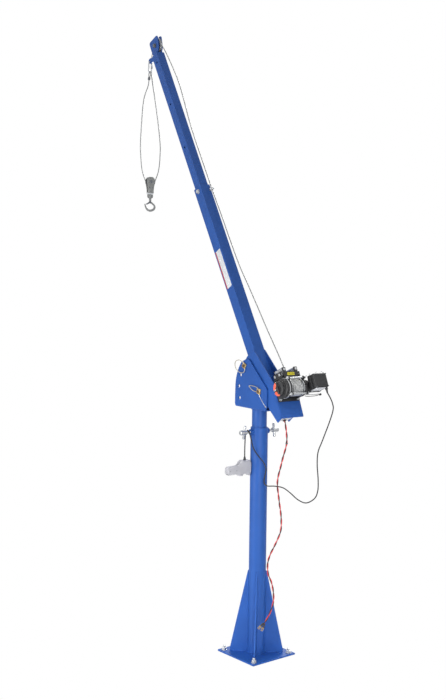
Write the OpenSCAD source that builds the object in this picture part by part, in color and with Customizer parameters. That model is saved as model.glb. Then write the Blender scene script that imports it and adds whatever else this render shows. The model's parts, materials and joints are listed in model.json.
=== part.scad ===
// Jib crane on a floor pedestal, with a telescopic boom and an electric winch.
// Millimetres, +Z up. The origin is the centre of the base plate's underside.
// The boom leans towards -X in the XZ plane, and the winch stands on its tail.

/* [Base] */
// Side of the square base plate
plate_w = 284; // [260:2:340]
// Thickness of the base plate
plate_t = 8; // [6:1:12]
// Turn of the base plate about the column
plate_turn = 4; // [0:1:10]
// Distance of each anchor hole from the two nearest plate edges
bolt_inset = 24; // [20:1:28]
// Diameter of each anchor hole
bolt_hole_d = 18; // [14:1:20]
// Height of the gussets above the plate
gusset_h = 428; // [300:4:500]
// Radius from the column's axis to a gusset's toe
gusset_reach = 137; // [120:1:145]
// Height of a gusset's square-cut toe
gusset_toe_h = 18; // [8:1:30]
// How far a gusset's top stands out from the pipe
gusset_top = 4; // [2:1:10]
// Thickness of a gusset
gusset_t = 8; // [6:1:10]

/* [Column] */
// Outside diameter of the pedestal pipe
pipe_d = 88.9; // [88:0.1:92]
// Wall of the pedestal pipe
pipe_wall = 5; // [3.5:0.1:5]
// Height of the pedestal pipe's rim above the floor
pipe_top = 1182; // [900:2:1210]
// Outside diameter of the turning mast
mast_d = 76.1; // [70:0.1:77]
// Wall of the mast
mast_wall = 4; // [3:0.5:6]
// Distance of the clamp screws below the pipe's rim
clamp_drop = 22; // [18:1:40]
// Diameter of a clamp screw
screw_d = 12; // [8:1:12]
// Width across flats of the clamp nut welded on the pipe
clamp_nut_af = 27; // [24:1:32]
// Height of that nut
clamp_nut_h = 13; // [8:1:14]
// Distance from the column's axis to the inner end of a handle hub
hub_start = 82; // [76:1:90]
// Length of a handle hub
hub_len = 38; // [24:1:44]
// Diameter of a handle hub
hub_d = 25; // [20:1:28]
// Length of a handle's cross bar
bar_len = 72; // [50:1:90]
// Diameter of a handle's cross bar
bar_d = 13; // [6:1:14]
// Turn of the left handle's bar from upright
bar_turn_left = 12; // [0:5:90]
// Turn of the right handle's bar from upright
bar_turn_right = -8; // [-90:1:0]

/* [Head bracket] */
// Height of the luffing pivot above the floor
pivot_z = 1373; // [1371:1:1400]
// Distance of the pivot behind the column's axis
pivot_x = 56; // [50:1:60]
// Outside width of the head bracket
head_w = 92; // [91:0.5:100]
// Thickness of the bracket's plates
head_t = 6; // [4:0.5:6]
// Radius of the bracket's outer edge about the pivot
head_r = 206; // [200:1:220]
// Height of the bracket's top edge above the pivot
head_top = 154; // [150:1:160]
// Width of that top edge's flat from the pivot
head_top_x = 92; // [84:1:100]
// Depth of the bracket's underside below the pivot
head_drop = 97; // [94:1:97]
// Rear edge of the side plates behind the pivot
head_rear = 62; // [40:1:66]
// Distance of the locking holes from the bracket's outer edge
lock_edge = 31.4; // [26:0.2:36]
// Angle of the highest locking hole above the horizontal
lock_angle = 43.4; // [42:0.2:45]
// Angle between locking holes
lock_step = 19.9; // [15:0.1:21]
// Number of locking holes
lock_count = 4; // [2:1:4]
// Diameter of a locking hole
lock_hole_d = 17; // [17:0.5:20]
// Diameter of the pivot pin and of the lock pin
pin_d = 16; // [12:0.5:16]
// Side of a pin's square head
pin_head_w = 28; // [20:1:34]
// Thickness of a pin's head
pin_head_t = 6; // [4:1:10]
// Length of a pin that shows past the far plate
pin_tail = 14; // [8:1:24]
// Diameter of the pins' bail wire
bail_wire_d = 3.5; // [3:0.5:4]

/* [Boom] */
// Angle of the boom above the horizontal
boom_angle = 59.2; // [58:0.1:61]
// Side of the outer boom tube
outer_w = 63.5; // [60:0.5:66]
// Wall of the outer boom tube
outer_wall = 4; // [3:0.5:4]
// Distance from the pivot to the outer tube's upper end
outer_len = 1209; // [1000:1:1250]
// Distance of the boom's centre line above the pivot
boom_off = 18; // [12:1:20]
// Length of the outer tube below the pivot
outer_tail = 60; // [40:1:70]
// Side of the inner boom tube
inner_w = 52; // [46:0.5:54]
// Wall of the inner boom tube
inner_wall = 4; // [3:0.5:5]
// Distance from the pivot to the inner tube's lower end
inner_start = 850; // [700:10:1000]
// Distance from the pivot to the inner tube's upper end
inner_end = 2108; // [2080:1:2112]
// Distance of the extension bolt from the outer tube's upper end
bolt_edge = 29; // [25:1:60]
// Distance between the extension holes
hole_pitch = 290; // [200:10:300]
// Number of open extension holes above the bolt
hole_count = 3; // [1:1:3]
// Diameter of the extension holes
ext_hole_d = 13; // [13:0.5:16]
// Diameter of the extension bolt
ext_bolt_d = 12; // [8:1:12]
// Distance from the pivot to the upper end of the tail's side plates
tail_up = 205; // [200:1:230]
// Depth of the side plates' lower end below the winch plate's
tail_low = 5; // [2:1:8]
// Thickness of the tail's side plates
tail_t = 5; // [4:0.5:5]
// Thickness of the pale end plate under the tail
end_plate_t = 3; // [2:0.5:5]

/* [Boom tip] */
// Distance from the pivot to the tip sheave's axle
tip_at = 2156; // [2150:1:2160]
// Distance of the tip sheave's axle above the pivot's line
tip_off = 36; // [34:1:38]
// Outside radius of the tip sheave
sheave_r = 44; // [42:1:44]
// Radius at the bottom of its groove
groove_r = 36; // [34:1:37]
// Width of the sheave
sheave_w = 12; // [11:1:18]
// Thickness of a tip cheek
cheek_t = 5; // [4:0.5:8]
// Diameter of the sheave's axle
axle_d = 12; // [10:1:14]
// Thickness of the rope lug
lug_t = 8; // [6:1:8]

/* [Winch] */
// Width of the winch plate
winch_plate_w = 137; // [130:1:150]
// Length of the winch plate
winch_plate_len = 187; // [186:1:196]
// Thickness of the winch plate
winch_plate_t = 6; // [5:0.5:8]
// Distance of the winch's centre from the boom's centre plane
winch_off = 31; // [28:0.5:34]
// Height of the drum's axis above the winch plate
drum_h = 58; // [56:1:60]
// Distance of the drum's axis from the plate's lower end
drum_at = 136; // [134:1:138]
// Radius of the gearbox
gear_r = 50; // [46:1:51]
// Length of the drum between its flanges
drum_len = 72; // [60:1:74]
// Radius of the drum's flanges
flange_r = 44; // [42:1:45]
// Radius of the rope wound on the drum
wound_r = 38; // [34:0.5:40]
// Radius of the motor
motor_r = 31; // [28:1:34]
// Length of the motor
motor_len = 122; // [100:2:126]

/* [Rope and hook] */
// Diameter of the wire rope
rope_d = 5.5; // [5:0.5:6]
// Width of the control box along the drum's axis
box_w = 84; // [70:1:88]
// Length of the control box along the plate
box_len = 76; // [70:1:80]
// Depth of the control box away from the plate
box_d = 54; // [48:1:60]
// Height of the block sheave's axle above the floor
block_z = 2478; // [2474:1:2484]
// Outside radius of the block sheave
block_r = 28; // [27:1:30]
// Turn of the block about its plumb line, from the boom's own plane
block_twist = 75; // [60:1:85]
// Thickness of the hook's forging at its thickest
hook_t = 13; // [11:0.5:14]

/* [Pendant and cords] */
// Thickness of the pendant's grip
pendant_t = 32; // [26:1:36]
// Diameter of the pendant's cord
pendant_cord_d = 6; // [5:0.5:7]
// Width of the twisted power cable
power_cable_d = 10; // [8:0.5:11]

/* [Hidden] */
$fn = 48;

blue = [0.16, 0.32, 0.62];
zinc = [0.78, 0.78, 0.76];
yellow_zinc = [0.72, 0.58, 0.36];
black = [0.09, 0.09, 0.10];
// Gap between a moving piece and what it rests on
seat = 0.3;

// Derived places
head_in = head_w / 2 - head_t;
clamp_z = pipe_top - clamp_drop;
outer_out = outer_w / 2;
boom_front = boom_off - outer_out;
boom_back = boom_off + outer_out;
tail_out = outer_out + tail_t;
lock_r = head_r - lock_edge;
lock_dir = 180 - lock_angle;
bolt_at = outer_len - bolt_edge;
lock_x = pivot_x + lock_r * cos(lock_dir);
lock_z = pivot_z + lock_r * sin(lock_dir);
// The lock pin seen from the boom: along it, and above it
lock_t = lock_r * cos(boom_angle - lock_angle);
lock_n = -lock_r * sin(boom_angle - lock_angle);
// The winch plate leans 8 degrees from the boom, and its outer face starts here
winch_lean = 8;
winch_n = 93;
winch_t = -190;
plate_near = -tail_out;
plate_mid = plate_near + winch_plate_w / 2;

// Frames: the boom's has z along the boom and x away from its back;
// the winch's has z up the winch plate and x away from it.
module boom_frame() {
    translate([pivot_x, 0, pivot_z]) rotate([0, boom_angle - 90, 0]) children();
}
module winch_frame() {
    boom_frame() translate([winch_n, 0, winch_t]) rotate([0, winch_lean, 0]) children();
}
// A flat shape drawn in the XZ plane, thick from y0 to y0 + t
module upright_plate(y0, t) {
    translate([0, y0 + t, 0]) rotate([90, 0, 0]) linear_extrude(t) children();
}
// A round bar along Y from y0, of a given length
module rod_y(y0, len, r) {
    translate([0, y0, 0]) rotate([-90, 0, 0]) cylinder(h = len, r = r);
}
// A square tube along Z from z0 to z1
module square_tube(w, wall, z0, z1) {
    difference() {
        translate([-w / 2, -w / 2, z0]) cube([w, w, z1 - z0]);
        translate([-w / 2 + wall, -w / 2 + wall, z0 - 1]) cube([w - 2 * wall, w - 2 * wall, z1 - z0 + 2]);
    }
}
// A block on a rectangle in x and y, with rounded upright edges
module rounded_block(size, r) {
    linear_extrude(size[2]) difference() {
        square([size[0], size[1]]);
        for (cx = [0, 1], cy = [0, 1])
            translate([cx * size[0], cy * size[1]]) mirror([cx, 0]) mirror([0, cy]) difference() {
                translate([-1, -1]) square(r + 1);
                translate([r, r]) circle(r);
            }
    }
}

// A smooth curve through points: n steps between each two
function spline_point(a, b, c, d, s) =
    0.5 * ((2 * b) + (c - a) * s + (2 * a - 5 * b + 4 * c - d) * s * s
    + (3 * b - a - 3 * c + d) * s * s * s);
function smooth_path(p, n) = let (m = len(p) - 1) concat(
    [for (i = [0:m - 1], k = [0:n - 1])
        spline_point(p[max(i - 1, 0)], p[i], p[i + 1], p[min(i + 2, m)], k / n)],
    [p[m]]);
function unit(v) = v / norm(v);
// A tube of round section swept along a path, or along its points from first to last.
// r is one radius or a list with one for each point; ref is a direction the path never takes.
function at(r, i) = is_list(r) ? r[i] : r;
module swept_tube(path, r, ref, sides = 8, first = 0, last = -1) {
    m = len(path) - 1;
    n = (last < 0 ? m : last) - first;
    rings = [for (i = [first:first + n])
        let (t = unit(path[min(i + 1, m)] - path[max(i - 1, 0)]),
             a = unit(cross(ref, t)), b = cross(t, a))
        for (k = [0:sides - 1])
            path[i] + at(r, i) * (a * cos(k * 360 / sides) + b * sin(k * 360 / sides))];
    polyhedron(rings, concat(
        [[for (k = [sides - 1:-1:0]) k]],
        [for (i = [0:n - 1], k = [0:sides - 1]) let (q = (k + 1) % sides)
            [i * sides + k, i * sides + q, (i + 1) * sides + q, (i + 1) * sides + k]],
        [[for (k = [0:sides - 1]) n * sides + k]]));
}

// Base -------------------------------------------------------------
bolt_r = (plate_w / 2 - bolt_inset) * sqrt(2);

module base_plate() {
    color(blue) rotate(plate_turn) difference() {
        translate([-plate_w / 2, -plate_w / 2, 0]) cube([plate_w, plate_w, plate_t]);
        for (a = [45:90:315]) rotate(a) translate([bolt_r, 0, -1])
            cylinder(h = plate_t + 2, d = bolt_hole_d);
    }
}

module gussets() {
    r0 = pipe_d / 2;
    color(blue) rotate(plate_turn) difference() {
        for (a = [45:90:315]) rotate(a) translate([0, 0, plate_t])
            upright_plate(-gusset_t / 2, gusset_t) polygon([[r0 - 2, 0], [gusset_reach, 0],
                [gusset_reach, gusset_toe_h], [r0 + gusset_top, gusset_h], [r0 - 2, gusset_h]]);
        cylinder(h = plate_t + gusset_h + 1, d = pipe_d);
    }
}

module pedestal_pipe() {
    color(blue) difference() {
        translate([0, 0, plate_t]) cylinder(h = pipe_top - plate_t, d = pipe_d);
        translate([0, 0, plate_t - 1]) cylinder(h = pipe_top - plate_t + 2, d = pipe_d - 2 * pipe_wall);
        translate([0, 0, clamp_z]) rod_y(-pipe_d, 2 * pipe_d, screw_d / 2 + 0.3);
    }
}

module clamp_nuts() {
    color(blue) for (s = [-1, 1]) scale([1, s, 1]) translate([0, 0, clamp_z]) difference() {
        rod_y(pipe_d / 2 - 4, clamp_nut_h + 4, clamp_nut_af / 2 / cos(30) - 1);
        rod_y(0, pipe_d, screw_d / 2 + 0.3);
        translate([0, 0, -clamp_nut_af]) cylinder(h = 2 * clamp_nut_af, d = pipe_d);
    }
}

module clamp_screw(turn) {
    tip = mast_d / 2 + seat;
    color(zinc) translate([0, 0, clamp_z]) union() {
        rod_y(tip, hub_start - tip + 1, screw_d / 2);
        rod_y(hub_start, hub_len, hub_d / 2);
        translate([0, hub_start + hub_len / 3, 0]) rotate([0, turn, 0])
            translate([0, 0, -bar_len / 2]) cylinder(h = bar_len, d = bar_d);
    }
}
module clamp_screw_left() { mirror([0, 1, 0]) clamp_screw(bar_turn_left); }
module clamp_screw_right() { clamp_screw(bar_turn_right); }

// Mast and head ----------------------------------------------------
floor_z = pivot_z - head_drop;

module mast_tube() {
    color(blue) difference() {
        translate([0, 0, plate_t + seat]) cylinder(h = floor_z - plate_t - seat, d = mast_d);
        cylinder(h = floor_z + 1, d = mast_d - 2 * mast_wall);
    }
}

module head_outline() {
    arc_end = asin(head_top / head_r);
    polygon(concat(
        [[-head_r + 3, -head_drop], [-head_r - 2, -head_drop + 18], [-head_r - 1, -30]],
        [for (a = [0:3:arc_end - 5]) head_r * [-cos(a), sin(a)]],
        [[-head_r * cos(arc_end) + 14, head_top - 3], [-head_r * cos(arc_end) + 26, head_top],
        [-head_top_x, head_top], [-head_top_x + 9, head_top - 5],
        [head_rear - 2, 18], [head_rear, 12], [head_rear, -head_drop + 24],
        [head_rear - 13, -head_drop]]));
}

module head_bracket() {
    fold = head_t + 3;
    color(blue) translate([pivot_x, 0, pivot_z]) difference() {
        upright_plate(-head_w / 2, head_w) head_outline();
        difference() {
            translate([-400, -head_in, -head_drop + head_t]) cube([800, 2 * head_in, 400]);
            for (s = [-1, 1]) scale([1, s, 1]) translate([-401, head_in - 3, -head_drop + head_t])
                difference() {
                    translate([0, 0, -1]) cube([802, 4, 4]);
                    translate([-1, 0, 3]) rotate([0, 90, 0]) cylinder(h = 804, r = 3);
                }
        }
        for (s = [-1, 1]) scale([1, s, 1]) translate([-401, head_w / 2 - fold, -head_drop])
            difference() {
                translate([0, 0, -1]) cube([802, fold + 1, fold + 1]);
                translate([-1, 0, fold]) rotate([0, 90, 0]) cylinder(h = 804, r = fold);
            }
        rod_y(-head_w, 2 * head_w, pin_d / 2 + 0.3);
        for (i = [0:lock_count - 1]) rotate([0, lock_angle - i * lock_step, 0])
            translate([-lock_r, 0, 0])
                rod_y(-head_w, 2 * head_w, (i == 0 ? pin_d + 0.6 : lock_hole_d) / 2);
    }
}

// A pin with a square head on the near plate
module headed_pin(turn) {
    face = head_w / 2;
    rod_y(-face - pin_head_t, 2 * face + pin_head_t + pin_tail, pin_d / 2);
    rotate([0, turn, 0]) translate([-pin_head_w / 2, -face - pin_head_t, -pin_head_w / 2])
        cube([pin_head_w, pin_head_t, pin_head_w]);
}
module pivot_pin() { color(yellow_zinc) translate([pivot_x, 0, pivot_z]) headed_pin(8); }
module lock_pin() { color(yellow_zinc) translate([lock_x, 0, lock_z]) headed_pin(30); }

// Wire bails that hook on the heads of the two pins
module bail(path) {
    y = -head_w / 2 - pin_head_t - bail_wire_d / 2 - seat;
    swept_tube(smooth_path([for (p = path) [p[0], y - p[2], p[1]]], 4), bail_wire_d / 2, [0, 1, 0.02]);
}
pivot_bail = [[4, 4, 0], [-4, 12, 0], [-16, 22, 1], [-34, 32, 2], [-50, 34, 2], [-58, 27, 2],
    [-48, 14, 2], [-30, 4, 1], [-14, -4, 0]];
lock_bail = [[6, 6, 0], [-2, 14, 1], [-24, 22, 2], [-44, 14, 3], [-54, -2, 3], [-46, -22, 3],
    [-26, -34, 2], [-8, -34, 2], [8, -24, 1], [12, -10, 0]];
module pin_bails() {
    color(yellow_zinc) {
        translate([pivot_x, 0, pivot_z]) bail(pivot_bail);
        translate([lock_x, 0, lock_z]) bail(lock_bail);
    }
}

// Boom --------------------------------------------------------------
module pin_hole(x, z, d) {
    translate([x, 0, z]) rod_y(-100, 200, d / 2);
}

module outer_boom() {
    color(blue) boom_frame() difference() {
        translate([boom_off, 0, 0]) square_tube(outer_w, outer_wall, -outer_tail, outer_len);
        pin_hole(0, 0, pin_d + 0.6);
        pin_hole(boom_off, bolt_at, ext_hole_d);
    }
}

module inner_boom() {
    color(blue) boom_frame() difference() {
        translate([boom_off, 0, 0]) square_tube(inner_w, inner_wall, inner_start, inner_end);
        for (i = [0:hole_count]) pin_hole(boom_off, bolt_at + i * hole_pitch, ext_hole_d);
    }
}

module tail_side_plates() {
    plate_top_n = winch_n + (winch_plate_len) * sin(winch_lean);
    plate_top_t = winch_t + (winch_plate_len) * cos(winch_lean);
    back = winch_plate_t * [cos(winch_lean), -sin(winch_lean)];
    color(blue) boom_frame() for (s = [-1, 1]) scale([1, s, 1])
        difference() {
            upright_plate(outer_out, tail_t) union() {
                polygon([[boom_back, tail_up], [plate_top_n, plate_top_t] - back,
                    [winch_n, winch_t] - back, [winch_n - 43, winch_t - tail_low],
                    [winch_n - 68, winch_t + 68], [winch_n - 79, winch_t + 112],
                    [-13, -30], [-30, -8], [-31, 8], [-24, 24], [boom_front, 40],
                    [boom_front, lock_t - 60], [lock_n, lock_t - 24], [lock_n, lock_t + 24],
                    [boom_front, tail_up]]);
            }
            pin_hole(0, 0, pin_d + 0.6);
            pin_hole(lock_n, lock_t, pin_d + 1);
        }
}

module winch_plate() {
    color(blue) winch_frame() translate([-winch_plate_t, plate_near, 0])
        cube([winch_plate_t, winch_plate_w, winch_plate_len]);
}

module tail_end_plate() {
    color([0.82, 0.82, 0.84]) boom_frame() difference() {
        translate([52, -outer_out + 0.2, winch_t + 1]) cube([33, outer_w - 0.4, end_plate_t]);
        translate([62, 0, winch_t]) cylinder(h = 20, d = power_cable_d + 0.6, center = true);
    }
}

module extension_bolt() {
    color(zinc) boom_frame() translate([boom_off, 0, bolt_at]) union() {
        rod_y(-outer_out - 1, outer_w + 13, ext_bolt_d / 2);
        rod_y(-outer_out - 8, 8, 10.5);
        rod_y(outer_out, 10, 10.5);
    }
}

guide_off = 16;
module rope_guide() {
    color(zinc) boom_frame() translate([boom_back + guide_off, 25, outer_len - 37]) union() {
        rotate_extrude() translate([11, 0]) circle(3);
        translate([-guide_off, 0, 0]) rotate([0, 90, 0]) cylinder(h = 4, r = 6);
    }
}

module tip_cheeks() {
    inner_in = inner_w / 2 - inner_wall;
    gap = sheave_w / 2 + 4;
    color(blue) boom_frame() for (s = [-1, 1]) scale([1, s, 1]) difference() {
        upright_plate(gap, cheek_t) polygon([
            [boom_off - inner_in, inner_end - 60], [boom_off + inner_in, inner_end - 60],
            [boom_off + inner_in, inner_end + 0.3], [60, inner_end + 18], [67, inner_end + 32],
            [80, tip_at + 28], [79, tip_at + 37], [72, tip_at + 42], [4, tip_at + 51],
            [-5, tip_at + 48], [-9, tip_at + 40], [-11, inner_end + 27], [-8, inner_end + 16],
            [boom_off - inner_in, inner_end + 0.3]]);
        pin_hole(tip_off, tip_at, axle_d + 0.4);
    }
}

module tip_axle() {
    gap = sheave_w / 2 + 4 + cheek_t;
    color(zinc) boom_frame() translate([tip_off, 0, tip_at]) union() {
        rod_y(-gap - 1, 2 * gap + 10, axle_d / 2);
        rod_y(-gap - 8, 8, 10);
        rod_y(gap, 9, 10);
    }
}

// The lug stands on the inner boom's front, under the near cheek
lug_n = -42;
lug_at = 2108;
lug_hole_d = 15;
lug_y = -(sheave_w / 2 + 4 + cheek_t) - lug_t;
module tip_lug() {
    root = boom_off - inner_w / 2 - 0.02;
    color(blue) boom_frame() difference() {
        upright_plate(lug_y, lug_t) union() {
            polygon([[root, inner_end - 24], [root, inner_end - 2], [lug_n + 10, lug_at + 13],
                [lug_n - 4, lug_at + 13], [lug_n - 4, lug_at - 13], [lug_n + 8, lug_at - 13.5]]);
            translate([lug_n, lug_at]) circle(14);
        }
        pin_hole(lug_n, lug_at, lug_hole_d);
    }
}

module grooved_sheave(r, groove, w, hub_w, bore) {
    hub = min(16, groove - 11);
    web = w / 2 - 2.5;
    rotate([90, 0, 0]) rotate_extrude($fn = 64) polygon([
        [bore / 2, -hub_w / 2], [hub, -hub_w / 2], [hub, -web], [groove - 8, -web],
        [groove - 4, -w / 2], [r, -w / 2], [r, -w / 2 + 1.5], [groove + 2, -3], [groove, -1.4],
        [groove, 1.4], [groove + 2, 3], [r, w / 2 - 1.5], [r, w / 2], [groove - 4, w / 2],
        [groove - 8, web], [hub, web], [hub, hub_w / 2], [bore / 2, hub_w / 2]]);
}
module tip_sheave() {
    color(zinc) boom_frame() translate([tip_off, 0, tip_at])
        grooved_sheave(sheave_r, groove_r, sheave_w, sheave_w + 4, axle_d + 0.2);
}

// Winch ---------------------------------------------------------------
// Tie rods lie outside the drum's flanges, on ears of the two end pieces
rod_h = drum_h + 36;
rod_off = 40;
rod_d = 10;
gear_len = 43;
gear_y0 = winch_off - drum_len / 2 - 6 - gear_len;
drum_y0 = winch_off - drum_len / 2;
motor_y0 = winch_off + drum_len / 2 + 6 + 8;
base_t = 8;
base_at = 82;
base_len = 106;

module winch_base() {
    color(black) winch_frame() translate([0, plate_near + 2, base_at]) difference() {
        cube([base_t, winch_plate_w - 8, base_len]);
        translate([-1, 46, 28]) cube([base_t + 2, 60, 50]);
    }
}

// Ears that hold the tie rods' ends, as thick as the flange they stand on
module rod_ears(y0, t) {
    for (s = [-1, 1]) translate([rod_h, 0, drum_at + s * rod_off]) rod_y(y0, t, 9);
    translate([drum_h, y0, drum_at - rod_off]) cube([rod_h - drum_h, t, 2 * rod_off]);
}

module gearbox() {
    y1 = gear_y0 + gear_len;
    color(black) winch_frame() union() {
        translate([drum_h, 0, drum_at]) difference() {
            union() {
                rod_y(gear_y0 + 10, gear_len - 10, gear_r - 3);
                rod_y(gear_y0, 11, gear_r - 10);
                rod_y(y1 - 8, 8, gear_r - 1);
            }
            rod_y(gear_y0 - 1, 9, 26);
        }
        difference() {
            translate([base_t, gear_y0 + 14, drum_at - gear_r + 6])
                cube([drum_h - base_t, gear_len - 14, 2 * gear_r - 12]);
            translate([drum_h, 0, drum_at]) rod_y(gear_y0, gear_len + 1, gear_r - 5);
        }
        rod_ears(y1 - 8, 8);
    }
}

module clutch_dial() {
    color([0.93, 0.36, 0.22]) winch_frame() translate([drum_h, 0, drum_at]) union() {
        rod_y(gear_y0 - 12, 12 - seat, 34);
        rod_y(gear_y0 - 1, 8, 25.5);
        translate([-4, gear_y0 - 22, -30]) cube([8, 11, 60]);
    }
}

module winch_drum() {
    color([0.55, 0.55, 0.55]) winch_frame() translate([drum_h, 0, drum_at]) rotate([-90, 0, 0])
        translate([0, 0, drum_y0]) rotate_extrude($fn = 64) polygon(concat(
            [[0, -5], [flange_r, -5], [flange_r, 0], [wound_r, 0.5]],
            [for (i = [0:11], k = [0:4]) let (p = (drum_len - 4) / 12)
                [wound_r - rope_d / 2 * (1 - sin(k * 45)), 2 + p * (i + k / 4)]],
            [[wound_r, drum_len - 0.5], [flange_r, drum_len], [flange_r, drum_len + 5], [0, drum_len + 5]]));
}

module drum_end_bracket() {
    color(black) winch_frame() union() {
        translate([drum_h, 0, drum_at]) rod_y(motor_y0 - 8, 8, 47);
        translate([base_t, motor_y0 - 8, drum_at - 46]) cube([drum_h - base_t, 8, 92]);
        rod_ears(motor_y0 - 8, 8);
    }
}

module winch_motor() {
    color(black) winch_frame() translate([drum_h, 0, drum_at]) union() {
        rod_y(motor_y0, motor_len - 8, motor_r);
        rod_y(motor_y0 + motor_len - 8, 8, motor_r - 4);
    }
}

module tie_rods() {
    y0 = gear_y0 + gear_len;
    color(zinc) winch_frame() for (s = [-1, 1]) translate([rod_h, 0, drum_at + s * rod_off])
        rod_y(y0, motor_y0 - 8 - y0, rod_d / 2);
}

// Fairlead: two long rollers across the rope and two short ones beside it
roller_r = 11;
roller_pin_r = 4;
roller_z = winch_plate_len + 21;
short_z = roller_z + 24;
lead_h = 28;
long_gap = 19;
short_gap = 36;
frame_t = 5;
frame_low = roller_z - 19;
ear_h0 = -8;
ear_h1 = 60;
frame_half = 60;
module fairlead_frame() {
    y0 = winch_off - frame_half;
    color(black) winch_frame() difference() {
        union() {
            translate([-1, y0, frame_low]) cube([ear_h1 + 1, 2 * frame_half, frame_t]);
            for (y = [y0, winch_off + frame_half - frame_t])
                translate([-1, y, frame_low]) cube([ear_h1 + 1, frame_t, 30]);
            for (y = [winch_off - short_gap - 10, winch_off + short_gap - 10]) {
                translate([ear_h0, y, frame_low]) cube([frame_t, 20, short_z + 10 - frame_low]);
                translate([ear_h1, y, frame_low]) cube([frame_t, 20, short_z + 10 - frame_low]);
                translate([ear_h0, y, frame_low]) cube([ear_h1 - ear_h0 + 1, 20, frame_t]);
            }
            translate([ear_h1, y0 + 14, frame_low]) cube([frame_t, 2 * frame_half - 28, 30]);
            for (y = [y0 + 10, y0 + 2 * frame_half - 40])
                translate([-6, y, winch_plate_len]) cube([6, 30, frame_low + frame_t - winch_plate_len]);
        }
        translate([lead_h - 16, winch_off - 30, frame_low - 1]) cube([32, 60, frame_t + 2]);
        for (h = [lead_h - long_gap, lead_h + long_gap])
            translate([h, 0, roller_z]) rod_y(y0 - 1, 2 * frame_half + 2, roller_pin_r + 0.2);
        for (y = [winch_off - short_gap, winch_off + short_gap])
            translate([ear_h0 - 1, y, short_z]) rotate([0, 90, 0])
                cylinder(h = ear_h1 - ear_h0 + frame_t + 2, r = roller_pin_r + 0.2);
    }
}
// A roller with its pin, along Z from z = 0
module roller_with_pin(len, pin) {
    cylinder(h = len, r = roller_r);
    translate([0, 0, -pin]) cylinder(h = len + 2 * pin, r = roller_pin_r);
}
module long_roller(h) {
    color(zinc) winch_frame() translate([h, winch_off - frame_half + frame_t + 1, roller_z])
        rotate([-90, 0, 0]) roller_with_pin(2 * (frame_half - frame_t - 1), frame_t + 1);
}
module long_roller_inner() { long_roller(lead_h - long_gap); }
module long_roller_outer() { long_roller(lead_h + long_gap); }
module short_roller(y) {
    color(zinc) winch_frame() translate([ear_h0 + frame_t + 1, y, short_z]) rotate([0, 90, 0])
        roller_with_pin(ear_h1 - ear_h0 - frame_t - 2, frame_t + 1);
}
module short_roller_near() { short_roller(winch_off - short_gap); }
module short_roller_far() { short_roller(winch_off + short_gap); }

box_y0 = 98;
box_h0 = 96;
box_t0 = 103;
// The pendant cord's gland, under the box's far outer corner
gland_h = box_h0 + box_d - 13;
gland_y = box_y0 + box_w - 12;
gland_len = 10;
module control_box() {
    color(black) winch_frame() union() {
        translate([box_h0, box_y0, box_t0]) rounded_block([box_d, box_w, box_len], 5);
        translate([gland_h, gland_y, box_t0 - gland_len]) cylinder(h = gland_len + 1, d = 13);
    }
}
module control_box_bracket() {
    clip_r = motor_r + 3;
    color(black) winch_frame() translate([drum_h, box_y0 + 8, drum_at]) difference() {
        union() {
            rod_y(0, 16, clip_r);
            translate([0, 0, -14]) cube([box_h0 - drum_h, 40, 28]);
        }
        rod_y(-1, 42, motor_r);
    }
}

// Rope, block and hook -------------------------------------------------
rope_r = rope_d / 2;
grey_rope = [0.62, 0.62, 0.60];
// From the boom's frame, and from the winch's, to the crane's frame
function from_boom(n, y, t) = [
    pivot_x - t * cos(boom_angle) + n * sin(boom_angle), y,
    pivot_z + t * sin(boom_angle) + n * cos(boom_angle)];
function from_winch(h, y, z) = from_boom(
    winch_n + h * cos(winch_lean) + z * sin(winch_lean), y,
    winch_t - h * sin(winch_lean) + z * cos(winch_lean));
// A rope lies this far from a sheave's axle, over the flats between its rings
function wrap_r(groove) = groove + rope_r + 0.7;

// The link hangs in the lug's hole, and the rope's eye in the link
link_wire = 7;
link_w = 20;
link_h = 62;
link_tilt = 4;
eye_r = 9;
eye_leg = 24;
eye_tilt = 12;
ferrule_len = 16;
eye_len = eye_r + eye_leg + ferrule_len;
lug_c = from_boom(lug_n, lug_y + lug_t / 2, lug_at);
link_top = lug_c + [0, 0, link_wire / 2 - lug_hole_d / 2 + 1.6];
// A point on the eye's own line, at a distance from its top
function eye_point(d) = let (a = link_tilt + eye_tilt, up = link_wire / 2 + rope_r + 0.4)
    link_top - link_h * [sin(link_tilt), 0, cos(link_tilt)] + (up - d) * [sin(a), 0, cos(a)];

// Off the drum's near side, through the fairlead and the guide to the tip sheave
lead_route = concat(
    [from_winch(drum_h - wound_r - rope_r - 0.4, winch_off - 2, drum_at),
    from_winch(lead_h - 2, winch_off - 2, roller_z),
    from_winch(lead_h - 0.5, winch_off - 3, roller_z + 34)],
    [for (p = [[143, 27, 160], [128, 26, 280], [114, 26, 410], [100, 25, 540], [82, 25, 680],
        [75, 25, 840], [72, 25, 1000], [66, 25, 1172], [66, 24, 1320], [68, 21, 1500],
        [76, 18, 1620], [92, 14, 1740], [102, 11, 1850], [98, 7, 1960], [89, 3, 2060],
        [80.5, 0, 2118]]) from_boom(p[0], p[1], p[2])]);
tip_wrap = [for (a = [-10:15:155])
    from_boom(tip_off + wrap_r(groove_r) * cos(a), 0, tip_at + wrap_r(groove_r) * sin(a))];
drop_route = [[-1067, 0, 3218], [-1076, 0, 3190], [-1081, 0, 3162]];
// The block hangs turned about its plumb line. A place in it is given along its face
// and up from its axle.
block_x = -1086;
block_groove = block_r - 6;
function from_block(x, z) =
    [block_x + x * cos(block_twist), x * sin(block_twist), block_z + z];
block_normal = [-sin(block_twist), cos(block_twist), 0];
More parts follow.
